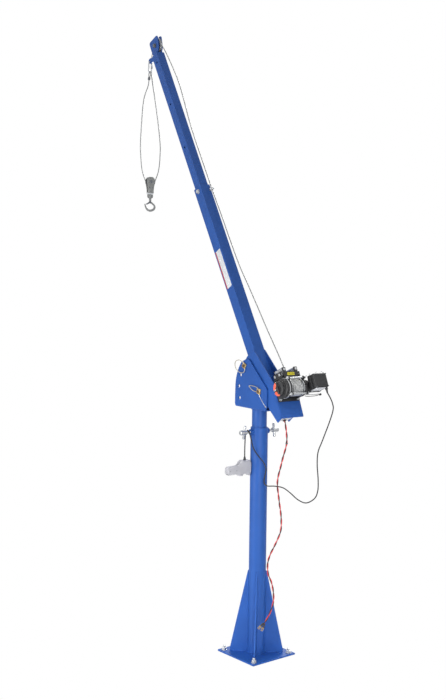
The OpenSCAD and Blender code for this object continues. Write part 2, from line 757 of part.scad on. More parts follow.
// Down to the block, round its sheave and up again to the dead end
live_leg = [[-1081, 0, 3135], [-1080, 3, 3075], [-1061, 14, 2946], [-1053, 32, 2806],
    [-1056, 48, 2690], [-1064, 52, 2630], from_block(55, 102), from_block(46.5, 54),
    from_block(33.5, 18)];
block_wrap = [for (a = [-20:-20:-160])
    from_block(wrap_r(block_groove) * cos(a), wrap_r(block_groove) * sin(a))];
dead_leg = [from_block(-33.5, 18), from_block(-46.5, 54), from_block(-54, 102),
    [-1108, -52, 2635], [-1113, -51, 2691], [-1118, -42, 2806], [-1114, -30, 2949],
    eye_point(eye_len + 34), eye_point(eye_len)];
lead_path = smooth_path(lead_route, 2);
drop_path = smooth_path(drop_route, 3);
leg_path = concat(smooth_path(live_leg, 3), block_wrap, smooth_path(dead_leg, 3));
rope_path = concat(lead_path, tip_wrap, drop_path, leg_path);
rope_split = len(lead_path) + len(tip_wrap) + len(drop_path) - 1;
rope_ref = [0.05, 1, 0];
// Gap between the rope's length on the boom and its falls
rope_gap = 0.1;
module hoist_rope() {
    color(grey_rope) swept_tube(rope_path, rope_r, rope_ref, last = rope_split);
}
module rope_legs() {
    color(grey_rope) translate([0, 0, -rope_gap])
        swept_tube(rope_path, rope_r, block_normal, first = rope_split);
}

// A link through the lug's hole, and below it the rope's eye with its ferrule
module link_frame() {
    translate(link_top) rotate([0, link_tilt, 0]) children();
}
module snap_link() {
    color(zinc) link_frame() rotate([0, 0, 90]) union() {
        for (end = [0, 1]) translate([0, 0, -link_w / 2 - end * (link_h - link_w)])
            rotate([90, 0, 0]) mirror([0, end, 0]) rotate_extrude(angle = 180)
                translate([link_w / 2, 0]) circle(d = link_wire);
        for (s = [-1, 1]) translate([s * link_w / 2, 0, -link_w / 2 - link_h + link_w])
            cylinder(h = link_h - link_w, d = link_wire);
    }
}
module rope_eye() {
    color([0.35, 0.35, 0.36]) translate(eye_point(0)) rotate([0, link_tilt + eye_tilt, 0]) union() {
        translate([0, 0, -eye_r]) rotate([90, 0, 0]) rotate_extrude(angle = 180)
            translate([eye_r, 0]) circle(r = rope_r);
        for (s = [-1, 1]) translate([s * eye_r, 0, -eye_r]) rotate([0, s * 12, 0])
            translate([0, 0, -eye_leg]) cylinder(h = eye_leg + 1, r = rope_r);
        translate([0, 0, -eye_len]) cylinder(h = ferrule_len + 2, d = 15);
    }
}

module block_frame() {
    translate([block_x, 0, block_z]) rotate([0, 0, block_twist]) children();
}
cheek_low = -65;
cross_low = -72;
module block_cheeks() {
    color([0.42, 0.43, 0.45]) block_frame() difference() {
        for (s = [-1, 1]) scale([1, s, 1]) upright_plate(11, 5) polygon([
            [-9, 28], [9, 28], [20, 21], [25, 9], [24, -5], [17, -48], [17, cheek_low],
            [-17, cheek_low], [-17, -48], [-24, -5], [-25, 9], [-20, 21]]);
        rod_y(-30, 60, 5.2);
    }
    color(zinc) block_frame() difference() {
        translate([-16, -10.8, cross_low]) cube([32, 21.6, 12]);
        translate([0, 0, cross_low - 1]) cylinder(h = 20, d = 15);
    }
    color(zinc) block_frame() rod_y(-19, 38, 5);
}

module block_sheave() {
    color(black) block_frame() grooved_sheave(block_r, block_groove, 16, 20, 10.4);
}

// The swivel turns on a stud in the crosshead, and ends in the neck of the hook
swivel_z = block_z + cross_low;
neck_d = 14;
module block_swivel() {
    color(zinc) translate([block_x, 0, swivel_z]) union() {
        translate([0, 0, -20]) cylinder(h = 19.5, r1 = 15, r2 = 16.5);
        translate([0, 0, -1]) cylinder(h = 13, d = 14);
        translate([0, 0, -36]) cylinder(h = 17, d = neck_d);
    }
}

hook_z = swivel_z - 36;
latch_drop = 8;
// The forging: a shank, and a bowl that runs from it round to the tip
hook_route = [[0, -0.1], [0, -3], [0, -6], [3, -10], [13, -15.5], [23.5, -25.5], [27, -37.5], [20, -50.5],
    [1.5, -57.5], [-15, -52.5], [-24.5, -40], [-29.5, -28], [-32, -20]];
hook_shares = [1, 1, 1, 0.95, 0.85, 0.85, 0.92, 1, 1, 0.95, 0.8, 0.65, 0.45];
module hook_frame() {
    translate([block_x, 0, hook_z]) rotate([0, 0, block_twist]) children();
}
module hook() {
    steps = 3;
    path = smooth_path([for (p = hook_route) [p[0], 0, p[1]]], steps);
    radii = [for (q = smooth_path([for (r = hook_shares) [r * hook_t / 2, 0]], steps)) q[0]];
    color([0.75, 0.75, 0.74]) hook_frame() difference() {
        swept_tube(path, radii, [0, 1, 0], sides = 12);
        translate([0, 0, -latch_drop]) rod_y(-20, 40, 2.2);
    }
}
module hook_latch() {
    inside = hook_t / 2 + 0.8;
    color([0.35, 0.35, 0.36]) hook_frame() translate([0, 0, -latch_drop]) union() {
        for (s = [-1, 1]) scale([1, s, 1]) upright_plate(inside, 1.6) polygon([
            [4, 4], [5, -4], [-18.5, -14.5], [-23.5, -9.5]]);
        translate([-20.5, 0, -11.5]) rod_y(-inside - 1, 2 * inside + 2, 1.4);
        rod_y(-inside - 1, 2 * inside + 2, 2);
    }
}

// Pendant and cords ----------------------------------------------------
pendant_x = -14;
pendant_outline = [[-47, 953], [-47, 1008], [-54, 1016], [-104, 1018], [-116, 1010], [-124, 996],
    [-160, 992], [-186, 990], [-193, 982], [-194, 960], [-188, 951], [-130, 950], [-122, 940],
    [-100, 938], [-96, 948], [-66, 946], [-64, 937], [-52, 937]];
module pendant() {
    color([0.72, 0.73, 0.75]) union() {
        translate([pendant_x - pendant_t / 2, 0, 0]) rotate([90, 0, 90]) linear_extrude(pendant_t)
            polygon(pendant_outline);
        translate([pendant_x, -80, 1016]) cylinder(h = 18, d = 14);
    }
}

// From the control box down to the loop's lowest point, and from there up to the left
// clamp screw, over it and down to the pendant
upper_route = [from_winch(gland_h, gland_y, box_t0 - gland_len - seat),
    from_winch(gland_h, gland_y, box_t0 - gland_len - 8),
    from_winch(gland_h, gland_y, box_t0 - gland_len - 16), [338, 184, 1353], [346, 191, 1326],
    [348, 193, 1298],
    [335, 183, 1238], [306, 162, 1138], [290, 150, 1082], [287, 148, 1020], [292, 152, 940],
    [291, 151, 884], [278, 141, 845], [244, 116, 820]];
lower_route = [[209, 90, 834], [175, 65, 867], [146, 44, 888], [112, 18, 893], [80, -7, 892],
    [67, -16, 912], [72, -11, 957], [74, -10, 983], [61, -20, 1015], [40, -37, 1045],
    [23, -52, 1080], [17, -62, 1120], [13, -69, 1152], [8, -71, 1164.8], [0, -72, 1169.4],
    [-8, -74, 1164.8], [-13, -77, 1150], [-14, -79, 1110], [-14, -80, 1070], [-14, -80, 1034]];
cord_path = smooth_path(concat(upper_route, lower_route), 2);
cord_split = 2 * (len(upper_route) - 1);
cord_ref = [0.6, -0.8, 0.01];
module pendant_cord_upper() {
    color(black) swept_tube(cord_path, pendant_cord_d / 2, cord_ref, last = cord_split);
}
module pendant_cord_lower() {
    color(black) swept_tube(cord_path, pendant_cord_d / 2, cord_ref, first = cord_split);
}

power_route = [[0, 0, 0], [0, 0, -20], [213, 9, 1176], [214, 11, 1140], [212, 8, 1110], [205, -1, 1066],
    [197, -12, 1009], [188, -24, 932], [193, -18, 851], [199, -9, 776], [201, -6, 725], [198, -10, 674],
    [182, -32, 608], [168, -51, 556], [162, -58, 514], [164, -55, 463], [175, -42, 421],
    [181, -33, 362], [180, -35, 311], [166, -54, 243], [152, -72, 205]];
power_exit = from_boom(62, 0, winch_t + 1);
module power_cable() {
    path = smooth_path([for (i = [0:len(power_route) - 1])
        i == 0 ? power_exit : i == 1 ? power_exit + [8, 0, -18] : power_route[i]], 2);
    color([0.55, 0.10, 0.10]) swept_tube(path, power_cable_d / 2, [0.8, -0.6, 0.01]);
}
module ring_terminals() {
    end = power_route[len(power_route) - 1];
    color([0.70, 0.55, 0.30]) translate(end) rotate([0, 149, 232])
        for (s = [-1, 1]) translate([s * 5, 0, 0.3]) rotate([0, 8 * s, 0]) union() {
            cylinder(h = 16, d = 7);
            translate([-6, -1, 15]) difference() {
                cube([12, 2, 18]);
                translate([6, -1, 11]) rotate([-90, 0, 0]) cylinder(h = 4, d = 7);
            }
        }
}

base_plate();
gussets();
pedestal_pipe();
clamp_nuts();
clamp_screw_left();
clamp_screw_right();
mast_tube();
head_bracket();
pivot_pin();
lock_pin();
pin_bails();
outer_boom();
inner_boom();
tail_side_plates();
winch_plate();
tail_end_plate();
extension_bolt();
rope_guide();
tip_cheeks();
tip_axle();
tip_lug();
tip_sheave();
winch_base();
gearbox();
clutch_dial();
winch_drum();
drum_end_bracket();
winch_motor();
tie_rods();
fairlead_frame();
long_roller_inner();
long_roller_outer();
short_roller_near();
short_roller_far();
control_box();
control_box_bracket();
hoist_rope();
rope_legs();
snap_link();
rope_eye();
block_cheeks();
block_sheave();
block_swivel();
hook();
hook_latch();
pendant();
pendant_cord_upper();
pendant_cord_lower();
power_cable();
ring_terminals();
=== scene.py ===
# %% [markdown]
# # A small jib crane
# The crane is a bolted-down pedestal, a mast that turns in it, and a boom that is raised
# and lowered on a pin. The solid parts come ready made from the CAD model. This lesson
# adds the things that CAD leaves plain: paint, cords, rope, screws, weld beads and
# moulded housings. Places are in metres in the crane's own frame, with +Z up. Most
# pieces are drawn in millimetres, and a matrix scales them down.

# %% Load the crane
import json
import math

import bmesh
import bpy
from mathutils import Matrix, Vector


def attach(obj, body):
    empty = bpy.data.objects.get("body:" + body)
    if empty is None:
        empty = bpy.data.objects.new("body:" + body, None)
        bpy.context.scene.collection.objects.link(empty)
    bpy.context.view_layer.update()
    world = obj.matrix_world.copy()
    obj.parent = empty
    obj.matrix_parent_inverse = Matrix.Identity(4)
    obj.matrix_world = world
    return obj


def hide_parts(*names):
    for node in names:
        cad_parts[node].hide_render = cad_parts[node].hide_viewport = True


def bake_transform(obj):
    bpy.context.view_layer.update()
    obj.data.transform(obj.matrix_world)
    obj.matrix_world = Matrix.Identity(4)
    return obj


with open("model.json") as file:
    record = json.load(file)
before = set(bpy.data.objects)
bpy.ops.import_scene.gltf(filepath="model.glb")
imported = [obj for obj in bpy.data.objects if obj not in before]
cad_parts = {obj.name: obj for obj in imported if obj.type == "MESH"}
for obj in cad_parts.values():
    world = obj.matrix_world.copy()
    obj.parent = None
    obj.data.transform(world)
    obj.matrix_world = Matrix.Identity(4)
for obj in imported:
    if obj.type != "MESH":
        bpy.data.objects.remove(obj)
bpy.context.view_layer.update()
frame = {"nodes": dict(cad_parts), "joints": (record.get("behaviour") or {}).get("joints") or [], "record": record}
nodes = frame["nodes"]
joints = {joint["name"]: joint for joint in frame["joints"]}
print("CAD nodes:", len(nodes), "joints:", len(joints))

# %% [markdown]
# ## Frames to build in
# A slanting boom is awkward to model in world axes. It is easier in the boom's own
# frame, where Z runs along the tube and X points away from its back, and one matrix
# then lays the piece down in its place. The winch plate leans a little from the boom,
# so the winch gets a second frame that stands on the first one. The hook block hangs
# turned about its plumb line, and has a third.

# %% Measure the frames
MM = 0.001
boom_angle, winch_lean, block_turn = 59.2, 8, 75
tail_corner = Vector((93, 0, -190))


def joint_place(name):
    """Where a joint of the frame is, in metres."""
    return Vector(joints[name]["pos_m"])


def turned(degrees, axis):
    """A turn about one of the axes."""
    return Matrix.Rotation(math.radians(degrees), 4, axis)


pivot = joint_place("boom_luff")
boom_frame = Matrix.Translation(pivot) @ turned(boom_angle - 90, "Y")
winch_frame = boom_frame @ Matrix.Translation(tail_corner * MM) @ turned(winch_lean, "Y")
block_frame = Matrix.Translation(joint_place("block_sheave_spin")) @ turned(block_turn, "Z")
crane_mm = Matrix.Scale(MM, 4)
boom_mm = boom_frame @ crane_mm
winch_mm = winch_frame @ crane_mm
block_mm = block_frame @ crane_mm
print("pivot at", [round(c, 3) for c in pivot])


# %% Name points in them
def on_crane(points):
    """Points given in millimetres in the crane's own frame."""
    return [Vector(point) * MM for point in points]


def on_boom(x, y, z):
    """A point given in millimetres in the boom's frame."""
    return boom_frame @ (Vector((x, y, z)) * MM)


def on_winch(x, y, z):
    """A point given in millimetres in the winch's frame."""
    return winch_frame @ (Vector((x, y, z)) * MM)


def on_block(x, z):
    """A point in millimetres along the hook block's face and up from its axle."""
    return block_frame @ (Vector((x, 0, z)) * MM)


print("the winch's corner is", [round(c, 3) for c in on_winch(0, 0, 0)])

# %% [markdown]
# ## The camera
# The crane is looked at from its right and from behind the boom, with the lens at the
# height of a tall person's raised arm. The camera is set before anything is modelled,
# because the cords are checked against what it sees.

# %% Place the camera
heading, pitch, roll = 54.98, -4.58, 0.62
lens_over_sensor = 1.5801
camera_data = bpy.data.cameras.new("camera")
camera = bpy.data.objects.new("camera", camera_data)
bpy.context.scene.collection.objects.link(camera)
bpy.context.scene.camera = camera
camera.matrix_world = (
    Matrix.Translation((4.4768, -3.3685, 2.0226))
    @ turned(heading, "Z") @ turned(90 + pitch, "X") @ turned(roll, "Z")
)
camera_data.sensor_fit = "VERTICAL"
camera_data.sensor_height = 24
camera_data.lens = camera_data.sensor_height * lens_over_sensor
camera_data.clip_end = 100
print("camera looks along", [round(c, 2) for c in -camera.matrix_world.col[2].to_3d()])

# %% [markdown]
# ## Finishes
# Paint is never one flat colour. A slow noise shifts its brightness a little, a fine
# noise gives the faint ripple that sprayed enamel dries with, and another varies the
# gloss. All of them read Object coordinates, so a pattern keeps its real size. One
# helper adds a node and fills in its sockets, and the others are built with it.


# %% Add nodes to a material
def fill_sockets(tree, node, sockets):
    """Gives each socket a value, or a link from another node's output."""
    for key, value in sockets.items():
        if isinstance(value, bpy.types.NodeSocket):
            tree.links.new(value, node.inputs[key])
        else:
            node.inputs[key].default_value = value


def add_node(tree, kind, **sockets):
    """Adds a node and fills the sockets that have a one-word name."""
    node = tree.nodes.new("ShaderNode" + kind)
    fill_sockets(tree, node, sockets)
    return node


def shader_nodes(name):
    """A new material with nothing in its tree but a Principled shader."""
    material = bpy.data.materials.new(name)
    material.use_nodes = True
    tree = material.node_tree
    tree.nodes.clear()
    shader = add_node(tree, "BsdfPrincipled")
    add_node(tree, "OutputMaterial", Surface=shader.outputs[0])
    return material, tree, shader


def noise_of(tree, scale, detail):
    """The value of a noise texture on Object coordinates, in features per metre."""
    place = add_node(tree, "TexCoord").outputs["Object"]
    return add_node(tree, "TexNoise", Vector=place, Scale=scale, Detail=detail).outputs["Fac"]


def ramp_of(tree, source, low, high, low_value, high_value):
    """Turns a noise into a grey or a colour between two limits."""
    ramp = add_node(tree, "ValToRGB", Fac=source)
    for element, position, value in zip(
        ramp.color_ramp.elements, (low, high), (low_value, high_value)
    ):
        rgb = (value,) * 3 if isinstance(value, (int, float)) else value
        element.position = position
        element.color = (*rgb, 1.0)
    return ramp.outputs[0]


def linear(colour):
    """A screen colour from 0 to 255 as the linear light that a shader wants."""
    parts = [c / 255 for c in colour]
    return tuple(c / 12.92 if c <= 0.04045 else ((c + 0.055) / 1.055) ** 2.4 for c in parts)


print("nodes are added by one helper")


# %% Build the finishes
def finish_material(
    name, colour, rough, metallic=0.0, shade=0.12, cloud=30, grain=400, bump=0.08,
    depth=0.0004, coat=0.0, specular=0.5,
):
    """A finish whose brightness and gloss drift, with a fine grain in its surface."""
    material, tree, shader = shader_nodes(name)
    colour = linear(colour)
    dark = [c * (1 - shade) for c in colour]
    light = [min(1.0, c * (1 + shade)) for c in colour]
    height = noise_of(tree, grain, 2.0)
    bumps = add_node(tree, "Bump", Strength=bump, Distance=depth, Height=height)
    fill_sockets(tree, shader, {
        "Base Color": ramp_of(tree, noise_of(tree, cloud, 4.0), 0.35, 0.65, dark, light),
        "Roughness": ramp_of(tree, noise_of(tree, cloud * 5, 3.0), 0.3, 0.7, *rough),
        "Normal": bumps.outputs[0], "Metallic": metallic, "Specular IOR Level": specular,
        "Coat Weight": coat, "Coat Roughness": 0.12,
    })
    return material


blue_paint = finish_material(
    "blue_paint", (42, 89, 167), (0.4, 0.52), shade=0.05, cloud=9, grain=260, bump=0.12,
    depth=0.0005, coat=0.04, specular=0.22,
)
black_paint = finish_material(
    "black_paint", (34, 34, 36), (0.34, 0.5), shade=0.2, cloud=14, grain=420, bump=0.25,
    coat=0.1,
)
orange_paint = finish_material(
    "orange_paint", (244, 104, 74), (0.38, 0.5), shade=0.05, cloud=40, grain=700, bump=0.1
)
black_plastic = finish_material(
    "black_plastic", (40, 40, 42), (0.42, 0.58), cloud=20, grain=1600, bump=0.3, depth=0.0002
)
grey_plastic = finish_material(
    "grey_plastic", (184, 183, 188), (0.4, 0.55), shade=0.05, cloud=25, grain=1500, bump=0.25,
    depth=0.0002,
)
cord_rubber = finish_material(
    "cord_rubber", (30, 30, 31), (0.5, 0.65), shade=0.15, grain=1200, bump=0.15, depth=0.0002
)
red_sheath = finish_material(
    "red_sheath", (204, 58, 62), (0.42, 0.55), shade=0.08, grain=1200, bump=0.1, depth=0.0002
)
zinc_plate = finish_material(
    "zinc_plate", (196, 198, 200), (0.22, 0.4), 0.9, shade=0.08, cloud=40, grain=900, bump=0.1
)
yellow_zinc = finish_material(
    "yellow_zinc", (206, 176, 118), (0.25, 0.42), 0.85, shade=0.2, cloud=60, grain=900, bump=0.1
)
brass = finish_material(
    "brass", (150, 130, 98), (0.35, 0.5), 0.6, cloud=60, grain=900, bump=0.1
)
pale_steel = finish_material(
    "pale_steel", (214, 215, 219), (0.3, 0.45), 0.5, shade=0.05, cloud=25, grain=500, bump=0.1
)
rope_steel = finish_material(
    "rope_steel", (176, 176, 172), (0.3, 0.5), 0.8, shade=0.18, cloud=60, grain=1500, bump=0.1
)
forged_steel = finish_material(
    "forged_steel", (138, 139, 138), (0.38, 0.52), 0.35, shade=0.1, grain=500, bump=0.2
)
dark_steel = finish_material(
    "dark_steel", (104, 107, 112), (0.35, 0.55), 0.55, shade=0.15, grain=600, bump=0.2
)
print("blue paint in linear light:", [round(c, 3) for c in linear((42, 89, 167))])

# %% [markdown]
# ## Dress the CAD pieces
# Each CAD node keeps its shape and takes the finish of its material slot, apart from
# the few that a more detailed piece will replace later on.

# %% Give each node its finish
slot_finish = {
    "blue_paint": blue_paint, "black_paint": black_paint, "orange_dial": orange_paint,
    "black_plastic": black_plastic, "grey_plastic": grey_plastic,
    "cord_rubber": cord_rubber, "cable_sheath": red_sheath, "zinc": zinc_plate,
    "yellow_zinc": yellow_zinc, "brass": brass, "pale_steel": pale_steel,
    "rope_steel": rope_steel, "forged_steel": forged_steel, "dark_steel": dark_steel,
}
finish_slot = {finish: slot for slot, finish in slot_finish.items()}
node_slot = {part["node"]: part["material_slot"] for part in frame["record"]["subparts"]}
for name, node in nodes.items():
    node.data.materials.clear()
    node.data.materials.append(slot_finish[node_slot[name]])
print("dressed", len(nodes), "nodes in", len(slot_finish), "finishes")

# %% [markdown]
# ## Sweeping a tube
# Cords, ropes, wires and weld beads are all one thing: a round section carried along a
# line. A curve object with a bevel could do it, but a mesh can also carry a second
# length along it for the lay of a rope. So a circle is made at each point of the line,
# square to it, and each circle is bridged to the next one.

# %% Lay out a smooth line
def smooth_path(points, steps):
    """A smooth curve through points, with a number of steps between each two."""
    points = [Vector(p) for p in points]
    last = len(points) - 1
    path = []
    for i in range(last):
        a, b, c, d = (points[max(0, min(last, i + k))] for k in (-1, 0, 1, 2))
        for s in (k / steps for k in range(steps)):
            path.append(
                b + (c - a) * s / 2 + (2 * a - 5 * b + 4 * c - d) * s * s / 2
                + (3 * b - a - 3 * c + d) * s**3 / 2
            )
    return [*path, points[last]]


def path_length(path):
    """The length of a line of points."""
    return sum((b - a).length for a, b in zip(path, path[1:]))


def helix(place, radius, pitch, steps, count, low=0.0):
    """Points of a helix about a frame's Z, with a number of steps in each turn."""
    points = []
    for a in (2 * math.pi * i / steps for i in range(count)):
        rise = pitch * a / (2 * math.pi)
        points.append(place @ Vector((radius * math.cos(a), radius * math.sin(a), low + rise)))
    return points


print("points on one corner:", len(smooth_path([(0, 0, 0), (1, 0, 0), (1, 1, 0)], 4)))


# %% Carry a circle along it
def heading_at(path, i, closed=False):
    """Which way a line runs at one of its points."""
    last = len(path) - 1
    if closed:
        return (path[(i + 1) % (last + 1)] - path[i - 1]).normalized()
    return (path[min(i + 1, last)] - path[max(i - 1, 0)]).normalized()


def sweep(build, path, radius, sides=12, closed=False, lay=False):
    """Bridges circles along a path. radius is a number, or a function of 0 to 1 along it."""
    side = None
    rings, edges, faces = [], [], []
    for i, point in enumerate(path):
        ahead = heading_at(path, i, closed)
        side = side or ahead.orthogonal().normalized()
        side = (side - ahead * side.dot(ahead)).normalized()
        turn = Matrix((side, ahead.cross(side), ahead)).transposed().to_4x4()
        ring = bmesh.ops.create_circle(
            build, cap_ends=False, segments=sides,
            radius=radius(i / (len(path) - 1)) if callable(radius) else radius,
            matrix=Matrix.Translation(point) @ turn,
        )["verts"]
        rings.append(ring)
        edges.append(list({edge for vert in ring for edge in vert.link_edges}))
    for low, high in zip(edges, edges[1:] + edges[:1] if closed else edges[1:]):
        faces += bmesh.ops.bridge_loops(build, edges=low + high)["faces"]
    if not closed:
        for end in (edges[0], edges[-1]):
            faces += bmesh.ops.holes_fill(build, edges=end, sides=0)["faces"]
    if lay:
        mark_lay(build, rings, path, faces, sides)


def mark_lay(build, rings, path, faces, sides):
    """Writes how far round, and how far along in metres, into the mesh's UV map."""
    lay_map = build.loops.layers.uv.verify()
    along, at = {}, 0.0
    for i, ring in enumerate(rings):
        at += (path[i] - path[i - 1]).length if i else 0
        for k, vert in enumerate(ring):
            along[vert] = (k, at)
    for face in faces:
        turned_by = {along[loop.vert][0] for loop in face.loops}
        wraps = 0 in turned_by and sides - 1 in turned_by
        for loop in face.loops:
            k, length = along[loop.vert]
            loop[lay_map].uv = ((sides if wraps and k == 0 else k) / sides, length)


def taper(build, line, radii, sides=24):
    """Sweeps a line that has its own radius at each of its points."""
    sweep(build, line, lambda s: radii[round(s * (len(radii) - 1))], sides)


print("circles can be swept along a line")


# %% Turn a mesh into a piece
def new_piece(name, build, finish, body=None, place=None, replaced=(), slot=None):
    """Turns a finished bmesh into an object that rides on one of the crane's bodies."""
    finishes = finish if isinstance(finish, list) else [finish]
    if place is not None:
        bmesh.ops.transform(build, matrix=place, verts=build.verts)
    bmesh.ops.recalc_face_normals(build, faces=build.faces)
    mesh = bpy.data.meshes.new(name)
    build.to_mesh(mesh)
    build.free()
    for material in finishes:
        mesh.materials.append(material)
    mesh.shade_smooth()
    mesh.set_sharp_from_angle(angle=math.radians(35))
    piece = bpy.data.objects.new(name, mesh)
    bpy.context.scene.collection.objects.link(piece)
    if body:
        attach(piece, body)
    if replaced:
        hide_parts(*replaced)
    return piece


def with_finish(build, index, make, *sizes, **options):
    """Makes a shape in a bmesh and gives its faces another of the piece's finishes."""
    before = set(build.faces)
    make(build, *sizes, **options)
    for face in set(build.faces) - before:
        face.material_index = index



# %% [markdown]
# ## The pendant's cord
# The hand control hangs on a rubber cord from the control box. It drops from a gland,
# swings past the back of the column, goes up to the left clamp screw, over it and down
# to the pendant. The cord follows the same points as its solid in the CAD model. It is
# two pieces, split where the upper points meet the lower ones.

# %% Run the cord from the box to the pendant
gland_at = (137, 170)
upper_points = [on_winch(*gland_at, up) for up in (92.7, 85, 77)]
upper_points += on_crane((
    (338, 184, 1353), (346, 191, 1326), (348, 193, 1298), (335, 183, 1238), (306, 162, 1138),
    (290, 150, 1082), (287, 148, 1020), (292, 152, 940), (291, 151, 884), (278, 141, 845),
    (244, 116, 820),
))
lower_points = on_crane((
    (209, 90, 834), (175, 65, 867), (146, 44, 888), (112, 18, 893), (80, -7, 892),
    (67, -16, 912), (72, -11, 957), (74, -10, 983), (61, -20, 1015), (40, -37, 1045),
    (23, -52, 1080), (17, -62, 1120), (13, -69, 1152), (8, -71, 1164.8), (0, -72, 1169.4),
    (-8, -74, 1164.8), (-13, -77, 1150), (-14, -79, 1110), (-14, -80, 1070), (-14, -80, 1034),
))
cord_steps = 6
cord_path = smooth_path(upper_points + lower_points, cord_steps)
cord_split = cord_steps * (len(upper_points) - 1)
cord_width = 0.006


def cord_piece(name, path, node):
    """One half of the pendant's cord, swept along its part of the path."""
    build = bmesh.new()
    sweep(build, path, cord_width / 2, sides=10)
    piece = new_piece(name, build, cord_rubber, replaced=[node])
    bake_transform(piece)
    print(name, round(path_length(path), 3), "m")


cord_piece(
    "pendant_cord_top", cord_path[: cord_split + 1], "pendant_cord_upper",
)
cord_piece(
    "pendant_cord_foot", cord_path[cord_split:], "pendant_cord_lower",
)

# %% [markdown]
# ## The battery cable
# Two wires, one red and one black, are twisted round each other. Each is swept along
# its own helix: the cable's line, moved off to one side by half a wire, with the side
# turning once every 80 mm. Both are in one piece.

# %% Twist the two wires
cable_hole = (62, 0, -189)
cable_points = [on_boom(*cable_hole), on_boom(*cable_hole) + Vector((8, 0, -18)) * MM]
cable_points += on_crane((
    (213, 9, 1176), (214, 11, 1140), (212, 8, 1110), (205, -1, 1066), (197, -12, 1009),
    (188, -24, 932), (193, -18, 851), (199, -9, 776), (201, -6, 725), (198, -10, 674),
    (182, -32, 608), (168, -51, 556), (162, -58, 514), (164, -55, 463), (175, -42, 421),
    (181, -33, 362), (180, -35, 311), (166, -54, 243), (152, -72, 205),
))
cable_path = smooth_path(cable_points, 9)
cable_top, cable_end = cable_path[0], cable_path[-1]
wire_radius = 0.0024
twist_pitch = 0.08


def helix_about(path, offset, pitch, start):
    """The path of one strand that turns round a line."""
    strand, at = [], 0.0
    side = (path[1] - path[0]).orthogonal().normalized()
    for i, point in enumerate(path):
        ahead = heading_at(path, i)
        at += (point - path[i - 1]).length if i else 0
        side = (side - ahead * side.dot(ahead)).normalized()
        turn = start + 2 * math.pi * at / pitch
        strand.append(
            point + offset * (side * math.cos(turn) + ahead.cross(side) * math.sin(turn))
        )
    return strand


cable_build = bmesh.new()
for wire in (0, 1):
    strand = helix_about(cable_path, wire_radius, twist_pitch, math.pi * wire)
    with_finish(cable_build, wire, sweep, strand, wire_radius, 10)
twisted_cable = new_piece(
    "twisted_cable", cable_build, [red_sheath, cord_rubber], replaced=["power_cable"]
)
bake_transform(twisted_cable)
print("battery cable", round(path_length(cable_path), 3), "m")

# %% [markdown]
# ### What is on the cable
# A tie of black tape holds the wires together near the top. At the free end each wire
# has a rubber boot over the barrel of its ring terminal. The brass rings themselves are
# the CAD pieces.

# %% Fit the tie and the boots
trim_build = bmesh.new()
tie_height = 1.127
tie_at = min(range(len(cable_path)), key=lambda i: abs(cable_path[i].z - tie_height))
sweep(trim_build, cable_path[tie_at - 1 : tie_at + 2], 0.0056, 14)
for side in (-1, 1):
    lug = (
        Matrix.Translation(cable_end) @ turned(232, "Z") @ turned(149, "Y")
        @ Matrix.Translation((side * 0.005, 0, 0.0003)) @ turned(8 * side, "Y") @ crane_mm
    )
    boot = [lug @ Vector((0, 0, z)) for z in (-7, -4, 0, 4, 9, 12, 13)]
    taper(trim_build, boot, [r * MM for r in (2.9, 3.6, 4.3, 4.8, 4.8, 4.5, 3.9)], 16)
cable_boots = new_piece("cable_boots", trim_build, black_plastic, "mast", slot="cord_rubber")
print("the cable ends", round(cable_end.z, 3), "m above the floor")

# %% [markdown]
# ## The hoist rope
# Steel rope is six strands laid round each other. At this size the strands are best
# left to the finish: a sine of how far round and how far along gives each strand its
# round back in the bump, and darkens the grooves between strands with painted shade.
# The two lengths come from the UV map that the sweep wrote.

# %% Lay strands in a finish
def rope_finish(name, colour, painted_groove_shade, strands=6, pitch=0.036, relief=0.8):
    """A laid rope. The map's U runs once round it and V runs along it in metres."""
    material, tree, shader = shader_nodes(name)

    def work_out(operation, *values):
        node = tree.nodes.new("ShaderNodeMath")
        node.operation = operation
        fill_sockets(tree, node, dict(enumerate(values)))
        return node.outputs[0]

    lay = add_node(tree, "SeparateXYZ", Vector=add_node(tree, "UVMap").outputs[0])
    around = work_out("MULTIPLY", lay.outputs["X"], strands * 2 * math.pi)
    along = work_out("MULTIPLY", lay.outputs["Y"], strands * 2 * math.pi / pitch)
    wave = work_out("SINE", work_out("ADD", around, along))
    height = work_out("MULTIPLY_ADD", wave, 0.5, 0.5)
    bumps = add_node(tree, "Bump", Strength=relief, Distance=0.0006, Height=height)
    fill_sockets(tree, shader, {
        # the groove colour is painted shade between the strands, darkest where the wave is low
        "Base Color": ramp_of(tree, height, 0.1, 0.75, linear(painted_groove_shade), linear(colour)),
        "Roughness": ramp_of(tree, noise_of(tree, 300, 3.0), 0.3, 0.7, 0.3, 0.5),
        "Normal": bumps.outputs[0], "Metallic": 0.75,
    })
    return material


# the third colour of each rope is painted shade in the grooves between its strands
laid_rope = rope_finish("laid_rope", (178, 179, 178), (78, 79, 80))
wound_rope = rope_finish("wound_rope", (216, 217, 216), (184, 185, 186), relief=0.2)
finish_slot[laid_rope] = finish_slot[wound_rope] = "rope_steel"
print("six strands with a lay of 36 mm")
